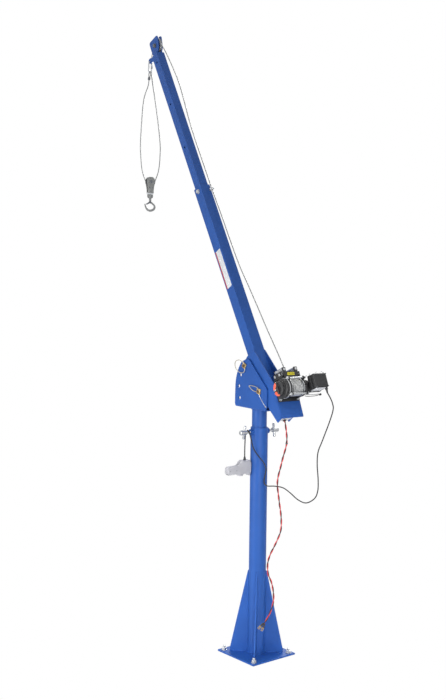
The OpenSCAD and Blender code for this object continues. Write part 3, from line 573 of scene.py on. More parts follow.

# %% [markdown]
# The rope leaves the drum, passes the fairlead, runs up the boom to the tip sheave and
# drops to the block. The part on the boom is one piece. The falls are two more: the dead
# one rides on the block, and the live one stays where it is laid.

# %% Rope the crane
rope_radius = 0.00275
sheave_x, sheave_z, sheave_groove = 36, 2156, 39.45
lead_points = [on_winch(16.85, 29, 136), on_winch(26, 29, 208), on_winch(27.5, 28, 242)]
lead_points += [on_boom(*point) for point in (
    (143, 27, 160), (128, 26, 280), (114, 26, 410), (100, 25, 540), (82, 25, 680),
    (75, 25, 840), (72, 25, 1000), (66, 25, 1172), (66, 24, 1320), (68, 21, 1500),
    (76, 18, 1620), (92, 14, 1740), (102, 11, 1850), (98, 7, 1960), (89, 3, 2060),
    (80.5, 0, 2118),
)]
top_turn = [
    on_boom(sheave_x + sheave_groove * math.cos(a), 0, sheave_z + sheave_groove * math.sin(a))
    for a in (math.radians(-10 + 7.5 * i) for i in range(23))
]
drop_points = on_crane(((-1067, 0, 3218), (-1076, 0, 3190), (-1081, 0, 3162)))


def rope_piece(name, path, **options):
    """A length of the hoist rope."""
    build = bmesh.new()
    sweep(build, path, rope_radius, sides=10, lay=True)
    return new_piece(name, build, laid_rope, **options)


lead_path = smooth_path(lead_points, 6) + top_turn + smooth_path(drop_points, 3)
rope_piece("boom_rope", lead_path, body="boom", replaced=["hoist_rope"])
print("rope on the boom:", round(path_length(lead_path), 2), "m")

# %% Hang the two falls
link_top = on_boom(-42, -19, 2108) + Vector((0, 0, -2.4)) * MM
link_tilt, eye_tilt = 4, 16


def down(distance, tilt):
    """A step down in metres, leaning from the plumb line by some degrees."""
    return -distance * Vector((math.sin(math.radians(tilt)), 0, math.cos(math.radians(tilt))))


def eye_point(distance):
    """A point on the rope eye's own line, in millimetres below its top."""
    return link_top + down(0.062, link_tilt) + down((distance - 6.65) * MM, eye_tilt)


live_points = on_crane((
    (-1081, 0, 3135), (-1080, 3, 3075), (-1061, 14, 2946), (-1053, 32, 2806),
    (-1056, 48, 2690), (-1064, 52, 2630),
)) + [on_block(55, 102), on_block(46.5, 54), on_block(33.5, 18)]
block_groove = 25.45
low_turn = [
    on_block(block_groove * math.cos(a), block_groove * math.sin(a))
    for a in (math.radians(-20 - 10 * i) for i in range(15))
]
dead_points = [
    on_block(-33.5, 18), on_block(-46.5, 54), on_block(-54, 102),
    *on_crane((
        (-1108, -52, 2635), (-1113, -51, 2691), (-1118, -42, 2806), (-1114, -30, 2949),
    )),
    eye_point(83), eye_point(49),
]
live_path = [drop_points[-1], *smooth_path(live_points, 5), *low_turn[:8]]
dead_path = [*low_turn[7:], *smooth_path(dead_points, 5)]
live_fall = rope_piece("live_fall", live_path, replaced=["rope_legs"])
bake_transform(live_fall)
rope_piece("dead_fall", dead_path, body="hook_block")
print("falls:", round(path_length(live_path) + path_length(dead_path), 2), "m")

# %% [markdown]
# ### The dead end
# The rope's end is turned back round a thimble and held in a pressed ferrule. The eye
# is one loop of the same rope, and the ferrule is a barrel whose ends are drawn in.

# %% Turn the eye
eye_mm = Matrix.Translation(eye_point(0)) @ turned(eye_tilt, "Y") @ crane_mm
loop_points = [
    (0.8, 0, -37), (4, 0, -33), (8, 0, -24), (10.4, 0, -14), (9, 0, -7), (5, 0, -1.6),
    (0, 0, 0), (-5, 0, -1.6), (-9, 0, -7), (-10.4, 0, -14), (-8, 0, -24), (-4, 0, -33),
    (-0.8, 0, -37),
]
eye_build = bmesh.new()
sweep(eye_build, smooth_path(loop_points, 4), 2.6, sides=10, lay=True)
new_piece("rope_eye_loop", eye_build, laid_rope, "hook_block", eye_mm, replaced=["rope_eye"])
ferrule_build = bmesh.new()
barrel = [Vector((0, 0, -31 - z)) for z in (0, 1, 3, 6, 12, 15, 17, 18)]
taper(ferrule_build, barrel, (4.6, 6.2, 7.2, 7.5, 7.5, 7.2, 6.0, 4.2))
new_piece("rope_ferrule", ferrule_build, dark_steel, "hook_block", eye_mm)
print("eye at", [round(c, 3) for c in eye_point(0)])

# %% [markdown]
# ## The wound drum
# A drum is a core between two flanges, with the rope laid on it turn beside turn. The
# core and flanges are one outline spun about the axle. The turns are a helix swept with
# the rope's own section, so that they catch the light one by one. A second, looser
# helix on top is the layer that the crane has begun.

# %% Spin the drum and wind it
def spin_outline(build, outline, place, steps=64):
    """Spins an outline of (radius, height) points about Z, then moves the whole mesh."""
    verts = [build.verts.new((r, 0, z)) for r, z in outline]
    lines = [build.edges.new(pair) for pair in zip(verts, verts[1:])]
    bmesh.ops.spin(
        build, geom=verts + lines, cent=(0, 0, 0), axis=(0, 0, 1), angle=2 * math.pi,
        steps=steps, use_merge=True,
    )
    bmesh.ops.remove_doubles(build, verts=build.verts, dist=0.001)
    bmesh.ops.transform(build, matrix=place, verts=build.verts)


def along_y(x, y, z):
    """A frame at a point whose Z runs along the crane's Y."""
    return Matrix.Translation((x, y, z)) @ turned(-90, "X")


axle_x, axle_up = 58, 136
drum_axis = along_y(axle_x, -5, axle_up)
drum_build = bmesh.new()
spin_outline(
    drum_build,
    [(0, -5), (43, -5), (44, -4), (44, -0.8), (43, 0.2), (34.5, 0.8), (34.5, 71.2),
     (43, 71.8), (44, 72.8), (44, 76), (43, 77), (0, 77)],
    drum_axis,
)
for face in drum_build.faces:
    face.material_index = 1
turns, wound_radius = 12, 2.75
winding = helix(drum_axis, 35.4, 5.72, 36, turns * 36 - 8, low=3.6)
with_finish(drum_build, 2, sweep, winding, wound_radius, sides=8, lay=True)
second_layer = helix(drum_axis, 40.2, -8.4, 36, 7 * 36, low=63.4)
sweep(drum_build, second_layer, wound_radius, sides=8, lay=True)
new_piece(
    "wound_drum", drum_build, [wound_rope, zinc_plate, laid_rope], "drum", winch_mm,
    replaced=["winch_drum"],
)
print("turns on the drum:", turns)

# %% [markdown]
# ## Nuts, screws and washers
# The CAD model leaves fasteners out, so they are added here at their true sizes. One
# helper makes a six-sided prism or a disc and rounds its rim, and another puts nut,
# washer and stud together on a point. They are used all over the crane.

# %% Make the fasteners
def facing(point, axis):
    """A frame at a point whose Z runs along an axis."""
    return Matrix.Translation(point) @ Vector(axis).to_track_quat("Z", "Y").to_matrix().to_4x4()


def disc(build, place, radius, low, high, segments=24, soft=0.6):
    """A round or many-sided disc from low to high along a frame's Z, its rim softened."""
    verts = bmesh.ops.create_cone(
        build, cap_ends=True, cap_tris=False, segments=segments, radius1=radius,
        radius2=radius, depth=high - low,
        matrix=place @ Matrix.Translation((0, 0, (low + high) / 2)),
    )["verts"]
    rim = [
        edge for edge in {e for v in verts for e in v.link_edges}
        if any(len(face.verts) == segments for face in edge.link_faces)
    ]
    if soft:
        bmesh.ops.bevel(
            build, geom=rim, offset=soft, segments=2, profile=0.5, affect="EDGES",
            material=-1, offset_type="OFFSET",
        )


def fastener(build, point, axis, thread, nut=0.8, proud=0.35):
    """A washer, a nut of a thread's usual size and the end of its stud."""
    place = facing(point, axis)
    low = thread * 0.18
    high = low + thread * nut
    disc(build, place, thread * 1.05, 0, low, 28, soft=thread * 0.03)
    disc(build, place, thread * 0.9, low, high, 6, soft=thread * 0.06)
    if proud:
        disc(build, place, thread / 2, high - 0.2, high + thread * proud, 20, soft=thread * 0.08)


def cap_screw(build, point, axis, thread):
    """A round head with a raised six-sided mark on it."""
    place = facing(point, axis)
    disc(build, place, thread * 0.8, 0, thread * 0.75, soft=thread * 0.1)
    disc(build, place, thread * 0.42, thread * 0.75, thread * 0.76, 6, soft=0)


print("a 16 mm nut is", round(16 * 0.9 * math.sqrt(3), 1), "mm across its flats")


# %% Bolt the plate to the floor
anchor_build = bmesh.new()
anchor_circle = 118 * math.sqrt(2)
corner_turns = [turned(49 + 90 * corner, "Z") for corner in range(4)]
for corner_turn in corner_turns:
    fastener(anchor_build, corner_turn @ Vector((anchor_circle, 0, 8)), (0, 0, 1), 14, proud=0.75)
new_piece("anchor_nuts", anchor_build, zinc_plate, "pedestal", crane_mm)
print("anchors on a circle of", round(2 * anchor_circle), "mm")

# %% [markdown]
# ## The winch
# The gearbox is a casting with a stepped nose, a flange and short cooling ribs. Its
# outline is spun, and the ribs are thin blocks spaced round it. The clutch on its end is
# a black knob with two orange marks and a bright lever.

# %% Cast the gearbox
def block(build, low, high, soft=0.0, segments=2, place=Matrix()):
    """A box between two corners, with its edges rounded."""
    size = Vector(high) - Vector(low)
    middle = (Vector(high) + Vector(low)) / 2
    verts = bmesh.ops.create_cube(
        build, size=1,
        matrix=place @ Matrix.Translation(middle) @ Matrix.Diagonal((*size, 1)),
    )["verts"]
    if soft:
        bmesh.ops.bevel(
            build, geom=list({e for v in verts for e in v.link_edges}), offset=soft,
            segments=segments, profile=0.5, affect="EDGES", material=-1,
        )


gear_axis = along_y(axle_x, 0, axle_up)
bolt_x, bolt_heights = 94, (axle_up - 40, axle_up + 40)
ribs = 18
gear_build = bmesh.new()
spin_outline(
    gear_build,
    [(0, -46), (25, -46), (26, -45.5), (26.5, -53), (39, -54), (40, -53), (40, -45),
     (42, -44), (46, -43), (47, -41), (47, -30), (49, -29), (50, -27.5), (50, -25.5),
     (49, -24), (47, -23), (47, -20), (48.4, -19), (49, -18), (49, -12), (48, -11), (0, -11)],
    gear_axis,
)
for rib in range(ribs):
    rib_turn = gear_axis @ turned(360 / ribs * rib + 6, "Z")
    block(gear_build, (45, -1.4, -41), (49.2, 1.4, -30), 0.5, place=rib_turn)
block(gear_build, (8, -40, 94), (46, -12, 178), 2.5)
block(gear_build, (58, -19, 97), (bolt_x, -11, 175), 1.2)
for up in bolt_heights:
    disc(gear_build, along_y(bolt_x, -19, up), 9, 0, 8, 32, soft=1)
new_piece("gearbox_casting", gear_build, black_paint, "boom", winch_mm, replaced=["gearbox"])
print("ribs round the gearbox:", ribs)

# %% Add its screws and a bright band
# The spin moves the whole mesh, so it carries the eight cap screws made before it to
# a ring just above the control box.
trim = bmesh.new()
for screw in range(8):
    angle = math.radians(45 * screw + 15)
    at = (axle_x + 43 * math.cos(angle), -44.4, axle_up + 43 * math.sin(angle))
    cap_screw(trim, at, (0, -1, 0), 4.5)
spin_outline(
    trim, [(47.5, -29.2), (50.6, -29), (51, -28), (51, -25.6), (50.6, -24.4), (47.5, -24.2)],
    gear_axis,
)
for up, foot_up in zip(bolt_heights, (axle_up - 43, axle_up + 43)):
    fastener(trim, (bolt_x, -19, up), (0, -1, 0), 8, proud=0.4)
    fastener(trim, (bolt_x, 81, up), (0, 1, 0), 8, proud=0.4)
    for along in (-26, 84):
        fastener(trim, (8, along, foot_up), (1, 0, 0), 8, proud=0.3)
new_piece("winch_screws", trim, zinc_plate, "boom", winch_mm)
print("screws on the winch:", 8 + 8)

# %% Turn the clutch knob
knob = bmesh.new()
spin_outline(
    knob,
    [(0, -64), (20, -64), (22, -65), (33, -65.5), (36, -64), (37, -61), (37, -56.5),
     (36, -54.4), (25.4, -54.3), (25, -47), (0, -47)],
    gear_axis,
)
block(knob, (-5, -29, -70), (5, 29, -63), 2.4, place=gear_axis)
disc(knob, gear_axis @ Matrix.Translation((0, 0, -71.5)), 9, 0, 3, soft=0.8)
new_piece(
    "clutch_knob", knob, black_plastic, "clutch", winch_mm, replaced=["clutch_dial"],
    slot="orange_dial",
)
marks = bmesh.new()
for first, last in ((104, 182), (204, 280)):
    arc = [
        gear_axis @ turned(-degrees, "Z") @ Vector((27.5, 0, -66))
        for degrees in range(first, last + 1, 6)
    ]
    sweep(marks, arc, lambda s: 9 if 0.04 < s < 0.96 else 6.5, 12)
bmesh.ops.scale(
    marks, vec=(1, 0.34, 1), verts=marks.verts, space=Matrix.Translation((0, 65, 0))
)
new_piece("clutch_marks", marks, orange_paint, "clutch", winch_mm)
lever = bmesh.new()
block(lever, (-30, -3.5, -70), (-12, 3.5, -66.5), 1.2, place=gear_axis @ turned(-6, "Z"))
new_piece("clutch_lever", lever, zinc_plate, "clutch", winch_mm)
print("orange marks:", 2)

# %% [markdown]
# ## The motor and its end bracket
# The motor is a pressed steel can with a lip at each end, three terminal studs and two
# long through bolts. The bracket that carries the drum's far end is a cast plate with a
# round boss. Two leads run from the motor up into the control box, and two wires stay
# the motor from below.

# %% Build the motor
motor_build = bmesh.new()
spin_outline(
    motor_build,
    [(0, 80.6), (30, 80.6), (31, 81.5), (31, 88), (29.6, 88.8), (29.6, 94), (30.4, 95),
     (30.4, 182), (29.4, 183), (31, 184), (31, 192), (29.6, 193.5), (26, 194.4), (26, 200),
     (24.6, 201.6), (10, 202.4), (9, 203), (0, 203)],
    gear_axis, 56,
)
new_piece("motor_can", motor_build, black_paint, "boom", winch_mm, replaced=["winch_motor"])
fittings = bmesh.new()
for degrees, along in ((-50, 168), (-30, 160), (-10, 168)):
    stud = gear_axis @ turned(degrees, "Z") @ Matrix.Translation((29, 0, along)) @ turned(90, "Y")
    disc(fittings, stud, 5.4, 0, 4)
    disc(fittings, stud, 5.0, 4, 8, 6, soft=0.4)
    disc(fittings, stud, 2.4, 8, 12, 16, soft=0.4)
for degrees in (70, 250):
    bolt = gear_axis @ turned(degrees, "Z") @ Matrix.Translation((22, 0, 0))
    disc(fittings, bolt, 3.6, 199.5, 204, 6, soft=0.3)
new_piece("motor_fittings", fittings, zinc_plate, "boom", winch_mm)
print("motor is", 203 - 81, "mm long")

# %% Cast the bracket at the drum's far end
far_end = bmesh.new()
spin_outline(
    far_end,
    [(32, 73), (44, 73), (46, 73.6), (47, 75), (47, 79), (46, 80.6), (38, 81), (36, 84),
     (32, 84.6)],
    gear_axis,
)
disc(far_end, gear_axis, 46, 73.2, 80.8, 64, soft=1)
block(far_end, (8, 73, 91), (40, 81, 181), 1.6)
block(far_end, (58, 73, 97), (bolt_x, 81, 175), 1.2)
for up in bolt_heights:
    disc(far_end, along_y(bolt_x, 73, up), 9, 0, 8, 32, soft=1)
new_piece(
    "drum_bracket_casting", far_end, black_paint, "boom", winch_mm,
    replaced=["drum_end_bracket"],
)
print("bracket is 8 mm thick")

# %% Run the motor's leads and stays
leads = bmesh.new()
for low, high in (((84, 168, 118), (100, 150, 112)), ((88, 160, 134), (98, 130, 110))):
    low, high = Vector(low), Vector(high)
    route = [
        low, low + Vector((12, 0, -6)), (low + high) / 2 + Vector((8, 0, -12)),
        high + Vector((-2, 0, -6)), high,
    ]
    sweep(leads, smooth_path(route, 6), 3.4, 10)
new_piece("motor_leads", leads, cord_rubber, "boom", winch_mm, slot="black_plastic")
stays = bmesh.new()
for wire, gap in enumerate((0, 9)):
    route = [
        (70, 81, 96 - gap), (68, 100, 93 - gap), (64, 150, 92 - gap * 0.8),
        (60, 184, 94 - gap * 0.4), (56, 192, 95),
    ]
    with_finish(stays, wire, sweep, smooth_path(route, 5), 1.7, 8)
new_piece(
    "motor_stays", stays, [zinc_plate, cord_rubber], "boom", winch_mm, slot="cord_rubber"
)
clip = bmesh.new()
block(clip, (50, 188, 87), (61, 196, 97), 1.6)
block(clip, (54, 195, 89), (58, 199, 93), 0.8)
new_piece("stay_clip", clip, black_plastic, "boom", winch_mm)
print("leads and stays are on")

# %% [markdown]
# ## The fairlead's trim
# The rollers and their frame are CAD pieces. Here they get what holds them together: a
# spring ring on each roller pin, two screws into the winch plate and a bare yellow
# plate where a rating would be read.

# %% Trim the fairlead
rings = bmesh.new()
for across in (9, 47):
    for along, out in ((-29, -1), (91, 1)):
        spot = facing((across, along, 208), (0, out, 0))
        disc(rings, spot, 6.6, 0, 1.2, soft=0.3)
        disc(rings, spot, 3.9, 1.2, 2.4, 20)
for along in (-5, 67):
    spot = facing((65, along, 232), (1, 0, 0))
    disc(rings, spot, 6.8, 0.4, 1.8, soft=0.3)
    disc(rings, spot, 4.2, 1.8, 3.6, 20, soft=0.9)
for along in (-4, 66):
    fastener(rings, (0, along, 190.5), (1, 0, 0), 6, proud=0.3)
new_piece("fairlead_rings", rings, zinc_plate, "boom", winch_mm)
label_yellow = finish_material(
    "label_yellow", (222, 208, 42), (0.35, 0.5), shade=0.05, cloud=60, bump=0.02
)
plate = bmesh.new()
block(plate, (65, 9, 199), (65.8, 53, 215), 0.35)
for along in (12, 50):
    disc(plate, facing((65.8, along, 207), (1, 0, 0)), 1.3, 0, 0.7, 14, soft=0.3)
new_piece("fairlead_plate", plate, label_yellow, "boom", winch_mm, slot="yellow_zinc")
print("yellow plate:", 53 - 9, "x", 215 - 199, "mm")

# %% [markdown]
# ## The control box
# The box is moulded in two halves with rounded corners and a narrow step where they
# meet. Each half is a cube with bevelled edges. Its front has a shallow panel, made by
# insetting the big face and pushing it in, and a screw in each corner. A pale steel
# tray under it carries it on the motor.

# %% Mould the control box
def sink_panel(build, direction, beyond, frame_width, wall, depth):
    """Insets the largest flat face that looks one way, and pushes it in."""
    way = Vector(direction)
    build.normal_update()
    panel = max(
        (face for face in build.faces
         if face.normal.dot(way) > 0.99 and face.calc_center_median().dot(way) > beyond),
        key=lambda face: face.calc_area(),
    )
    bmesh.ops.inset_individual(build, faces=[panel], thickness=frame_width, depth=0)
    bmesh.ops.inset_individual(build, faces=[panel], thickness=wall, depth=-depth)


box_build = bmesh.new()
block(box_build, (96, 98, 104), (121, 182, 179), 6, 4)
block(box_build, (119, 99, 105), (123, 181, 178), 1)
block(box_build, (121.5, 98, 104), (150, 182, 179), 9, 4)
sink_panel(box_build, (1, 0, 0), 149, 7, 0.6, 0.8)
sink_panel(box_build, (0, -1, 0), -100, 4, 0.5, 0.6)
for rib in range(5):
    block(box_build, (100, 181, 116 + 12 * rib), (118, 183.4, 119 + 12 * rib), 0.8)
new_piece("box_shell", box_build, black_plastic, "boom", winch_mm, replaced=["control_box"])
print("the box is", 150 - 96, "x", 182 - 98, "x", 179 - 104, "mm")

# %% Carry and close the box
tray = bmesh.new()
block(tray, (98, 101, 100.8), (147, 160, 104.2), 1)
for across in (102, 142):
    for along in (106, 154):
        cap_screw(tray, (across, along, 100.8), (0, 0, -1), 3.5)
new_piece("box_tray", tray, pale_steel, "boom", winch_mm)
screws = bmesh.new()
for along in (104, 176):
    for up in (110, 173):
        cap_screw(screws, (149.8, along, up), (1, 0, 0), 3.4)
new_piece("box_screws", screws, dark_steel, "boom", winch_mm)
gland = bmesh.new()
relief = [Vector((*gland_at, up)) for up in (105, 102, 99, 96.5, 93.2, 88, 82, 76.5, 75)]
taper(gland, relief, (6.5, 6.5, 7.4, 7.4, 5.6, 4.9, 4.3, 3.8, 3.4))
disc(gland, Matrix.Translation((*gland_at, 99)), 8.2, -3.4, 3.4, 6, soft=0.8)
new_piece("box_gland", gland, black_plastic, "boom", winch_mm)
print("screws in the box's front:", 4)

# %% [markdown]
# ## The pendant
# The hand control is a moulded grip in pale grey, in two shells screwed together. Its
# side view is one outline, extruded through the grip's thickness and then bevelled all
# round, which is quicker than carving and keeps the outline exact. A dark sleeve keeps
# the cord from breaking where it goes in. The two buttons are on the face that looks
# towards the boom's tip.

# %% Mould the grip
def plate_outline(build, points, low, depth, view, soft=0.0, segments=2):
    """An outline seen in one view, extruded away from it and rounded at its edges."""
    verts = [build.verts.new((x, y, 0)) for x, y in points]
    face = build.faces.new(verts)
    made = bmesh.ops.extrude_face_region(build, geom=[face])["geom"]
    top = [part for part in made if isinstance(part, bmesh.types.BMVert)]
    bmesh.ops.translate(build, vec=(0, 0, depth), verts=top)
    whole = verts + top
    bmesh.ops.recalc_face_normals(build, faces=list({f for v in whole for f in v.link_faces}))
    if soft:
        flat = [
            e for e in {e for v in whole for e in v.link_edges}
            if abs(e.verts[0].co.z - e.verts[1].co.z) < 1e-6
        ]
        rim = bmesh.ops.bevel(
            build, geom=flat, offset=soft, segments=segments, profile=0.5, affect="EDGES",
            material=-1,
        )
        whole = list({v for v in whole if v.is_valid} | set(rim["verts"]))
    bmesh.ops.transform(build, matrix=view @ Matrix.Translation((0, 0, low)), verts=whole)


side_view = Matrix(((0, 0, 1, 0), (1, 0, 0, 0), (0, 1, 0, 0), (0, 0, 0, 1)))
front_view = Matrix(((1, 0, 0, 0), (0, 0, 1, 0), (0, 1, 0, 0), (0, 0, 0, 1)))
grip_points = [
    (-49, 954), (-47, 960), (-47, 1002), (-50, 1011), (-57, 1017), (-103, 1018),
    (-114, 1011), (-123, 997), (-134, 993), (-160, 992), (-184, 990.5), (-191, 986),
    (-194, 978), (-193.5, 960), (-189, 952), (-180, 950.5), (-132, 950), (-124, 944),
    (-118, 939), (-102, 938), (-97, 945), (-88, 947.5), (-72, 947), (-65, 941),
    (-60, 937), (-54, 938),
]
seam_points = [((x + 120) * 0.97 - 120, (y - 975) * 0.97 + 975) for x, y in grip_points]
shell_lows, shell_depth = (-30, -13.6), 15.6
grip = bmesh.new()
for low in shell_lows:
    plate_outline(grip, grip_points, low, shell_depth, side_view, 5, 4)
plate_outline(grip, seam_points, -15, 2, side_view)
new_piece("pendant_grip", grip, grey_plastic, "pedestal", crane_mm, replaced=["pendant"])
print("the grip is", round(shell_lows[1] + shell_depth - shell_lows[0]), "mm thick")

# %% Fit the buttons, the sleeve and the screws
controls = bmesh.new()
block(controls, (-32, -112, 968), (-29.6, -60, 1000), 1.0)
for middle in (-98, -74):
    button = facing((-32, middle, 984), (-1, 0, 0))
    disc(controls, button, 9, 0, 3.6, 32, soft=1.2)
    disc(controls, button, 6.4, 3.6, 4.2, 28, soft=0.4)
for back in range(6):
    block(controls, (-26, -186 + 9 * back, 949), (-2, -182 + 9 * back, 951.4), 0.9)
sleeve_heights = (1012, 1018, 1019, 1022, 1023, 1026, 1027, 1030, 1031, 1035)
sleeve = [Vector((-14, -80, z)) for z in sleeve_heights]
taper(controls, sleeve, (8, 8, 7, 7, 6, 6, 5.2, 5.2, 4.4, 4))
new_piece("pendant_controls", controls, black_plastic, "pedestal", crane_mm)
grip_screws = bmesh.new()
for along, up in ((-54, 1008), (-54, 950), (-108, 946), (-180, 970), (-140, 970)):
    cap_screw(grip_screws, (1.6, along, up), (1, 0, 0), 2.6)
new_piece("grip_screws", grip_screws, dark_steel, "pedestal", crane_mm)
print("buttons:", 2)

# %% [markdown]
# ## The pins, their bails and the lanyard
# The boom turns on one pin and rests on another. Each is a plated bar with a square
# head and a dark boss on the head, and a wire bail that clips over the far end is left
# hanging from the head. A thin wire ties a pin to the bracket, so that it isn't lost.

# %% Head the pins
def square_head(build, centre, degrees):
    """A pin along Y with a square plate for a head and two rings at its far end."""
    place = Matrix.Translation(centre) @ turned(degrees, "Y")
    spin_outline(
        build, [(0, -50), (7.4, -50), (8, -49), (8, 57.6), (6.6, 60), (0, 60)],
        place @ along_y(0, 0, 0), 32,
    )
    block(build, (-14, -52, -14), (14, -46.4, 14), 1.4, place=place)
    for along in (52, 54):
        disc(build, place @ along_y(0, along, 0), 8.6, -0.6, 0.6, 28, soft=0.3)


pivot_mm = Vector((56, 0, 1373))
hole_radius, hole_angle = 174.6, math.radians(43.4)
lock_mm = pivot_mm + hole_radius * Vector((-math.cos(hole_angle), 0, math.sin(hole_angle)))
pin_boss = finish_material("pin_boss", (96, 74, 58), (0.4, 0.6), 0.4, shade=0.2, cloud=80)
for name, centre, degrees, node in (
    ("pivot_pin_headed", pivot_mm, 8, "pivot_pin"), ("lock_pin_headed", lock_mm, 30, "lock_pin"),
):
    pin_build = bmesh.new()
    square_head(pin_build, centre, degrees)
    boss = facing(centre + Vector((0, -52, 0)), (0, -1, 0))
    with_finish(pin_build, 1, disc, boss, 8.2, 0, 3, 28, soft=1)
    new_piece(name, pin_build, [yellow_zinc, pin_boss], "mast", crane_mm, replaced=[node])
print("lock pin at", [round(c) for c in lock_mm])

# %% Bend the bails and the lanyard
bail_steel = finish_material("bail_steel", (190, 182, 160), (0.3, 0.45), 0.5, cloud=80)
bails = bmesh.new()
for centre, wire_points in (
    (pivot_mm, (
        (8, 4, 0), (4, 12, 0), (-18, 22, 1), (-46, 24, 2), (-66, 23, 2), (-73, 20, 2),
        (-56, 8, 2), (-37, 0, 1), (-14, -3, 0),
    )),
    (lock_mm, (
        (6, 6, 0), (-2, 16, 1), (-30, 26, 2), (-58, 21, 3), (-70, 4, 3), (-62, -18, 3),
        (-38, -34, 2), (-14, -39, 2), (8, -31, 1), (13, -12, 0),
    )),
):
    line = [centre + Vector((x, -53.6 - away, z)) for x, z, away in wire_points]
    sweep(bails, smooth_path(line, 5), 1.9, 10)
new_piece(
    "wire_bails", bails, bail_steel, "mast", crane_mm, replaced=["pin_bails"],
    slot="yellow_zinc",
)
lanyard = bmesh.new()
lanyard_line = smooth_path([
    (58, -52, 1362), (62, -49, 1352), (74, -48, 1336), (92, -47.6, 1318), (108, -47.4, 1304),
    (113, -47.4, 1301),
], 6)
sweep(lanyard, lanyard_line, 1.4, 8)
disc(lanyard, facing((113, -46, 1301), (0, -1, 0)), 4, 0, 2.4, 20)
new_piece("pin_lanyard", lanyard, zinc_plate, "mast", crane_mm)
print("lanyard", round(path_length(lanyard_line)), "mm")

# %% [markdown]
# ## The clamp screws
# A screw on each side of the pedestal presses on the mast, so that it can't swing. Each
# has a turned hub and a cross bar for the hand. The thread is a fine ridge swept round
# the shank in a helix.

# %% Turn the clamp screws
clamp_height = 1160


def clamp_screw(side, degrees):
    """A clamp screw on one side, -1 or 1, with its bar turned from upright."""
    build = bmesh.new()
    out = facing((0, 0, clamp_height), (0, side, 0))
    spin_outline(
        build,
        [(0, 38.4), (4.6, 38.4), (5.6, 39.4), (5.6, 82), (10, 82), (12, 83.4), (12.5, 86),
         (12.5, 116), (11.6, 118.6), (9, 120), (0, 120)],
        out, 40,
    )
    sweep(build, helix(out, 5.7, 1.75, 14, 24 * 14, low=40), 0.55, 5)
    bar = Matrix.Translation((0, side * 94.7, clamp_height)) @ turned(degrees, "Y")
    tips = [bar @ Vector((0, 0, z)) for z in (-36, -35.4, -34, -31.6, 0, 31.6, 34, 35.4, 36)]
    taper(build, tips, (2.4, 4.4, 5.8, 6.5, 6.5, 6.5, 5.8, 4.4, 2.4))
    return build


for hand, side, degrees in (("left", -1, 12), ("right", 1, -8)):
    new_piece(
        hand + "_clamp", clamp_screw(side, degrees), zinc_plate, hand + "_clamp_screw",
        crane_mm, replaced=["clamp_screw_" + hand],
    )
print("clamp screws: 2, with bars", 2 * 36, "mm long")

# %% [markdown]
# ## Bolts through the boom
# The inner boom is held by a bolt through both tubes, and the tip sheave turns on
# another. They are plain hexagon bolts with a washer under the head and under the nut.

# %% Bolt the boom
def through_bolt(build, x, z, half, thread):
    """A bolt along Y through something a given number of millimetres to each side."""
    disc(build, facing((x, 0, z), (0, 1, 0)), thread / 2, -half - 2, half + 2, soft=0)
    fastener(build, (x, -half, z), (0, -1, 0), thread, nut=0.64, proud=0)
    fastener(build, (x, half, z), (0, 1, 0), thread, proud=0.3)


for name, x, z, half, finish, node in (
    ("boom_bolt", 18, 1180, 31.75, zinc_plate, "extension_bolt"),
    ("tip_bolt", sheave_x, sheave_z, 15, dark_steel, "tip_axle"),
):
    bolt_build = bmesh.new()
    through_bolt(bolt_build, x, z, half, 12)
    new_piece(name, bolt_build, finish, "boom", boom_mm, replaced=[node], slot="zinc")
grommet = bmesh.new()
spin_outline(
    grommet, [(5.6, -4), (8, -4), (9.4, -3.2), (9.6, -2), (8.4, -1.2), (7, 4), (5.6, 4)],
    Matrix.Translation(cable_hole), 32,
)
new_piece("cable_grommet", grommet, black_plastic, "boom", boom_mm)
print("bolts through the boom:", 2)

# %% [markdown]
# ## The label on the boom
# A white label with a red band is stuck on the boom's near side. It is left bare. A
# label is thin, but it isn't nothing: it has an edge that catches the light, so it is a
# plate four tenths of a millimetre thick.

# %% Stick on the label
label_white = finish_material("label_white", (226, 228, 230), (0.3, 0.42), shade=0.03, bump=0.02)
label_red = finish_material("label_red", (186, 62, 58), (0.3, 0.42), shade=0.05, bump=0.02)
label_build = bmesh.new()
label_foot, label_top = 590, 812
block(label_build, (-8, -32.1, label_foot), (40, -31.7, label_top), 0.15)
band = (-8, -32.2, label_foot), (0, -31.8, label_top)
with_finish(label_build, 1, block, *band, 0.15)
new_piece("boom_label", label_build, [label_white, label_red], "boom", boom_mm, slot="pale_steel")
print("label:", label_top - label_foot, "mm long")

# %% [markdown]
# ## Weld beads
# The crane is welded from plate and tube, and a weld shows as a rippled bead in each
# corner. A bead is a small circle swept along the corner, its radius swelling a little
# every few millimetres, where the welder paused.

# %% Run the beads
def bead(build, path, radius, closed=False, ripple=5.0):
    """A weld bead along a line, rippled, in millimetres."""
    path = [Vector(point) for point in path]
    fine = [path[0]]
    for a, b in zip(path, path[1:]):
        count = max(1, round((b - a).length / (ripple / 2.5)))
        fine += [a.lerp(b, (i + 1) / count) for i in range(count)]
    fine = fine[:-1] if closed else fine
    length = path_length(fine)
    sweep(
        build, fine,
        lambda s: radius * (0.9 + 0.14 * abs(math.sin(math.pi * s * length / ripple))),
        sides=7, closed=closed,
    )


def ring_of(radius, height):
    """A level circle of points, closed on its first point."""
    return helix(Matrix(), radius, 0, 72, 73, low=height)


base_welds = bmesh.new()
bead(base_welds, ring_of(45.4, 8.6), 3, closed=True)
for corner_turn in corner_turns:
    for side in (-4.6, 4.6):
        for low, high in (
            ((45.2, side, 12), (45.2, side, 430)), ((50, side, 8.8), (134, side, 8.8)),
        ):
            bead(base_welds, [corner_turn @ Vector(low), corner_turn @ Vector(high)], 2.6)
weld_base = new_piece("welds_base", base_welds, blue_paint, "pedestal", crane_mm)
mast_welds = bmesh.new()
bead(mast_welds, ring_of(39, 1275.4), 3, closed=True)
new_piece("welds_mast", mast_welds, blue_paint, "mast", crane_mm)
print("base beads:", len(weld_base.data.polygons), "faces")

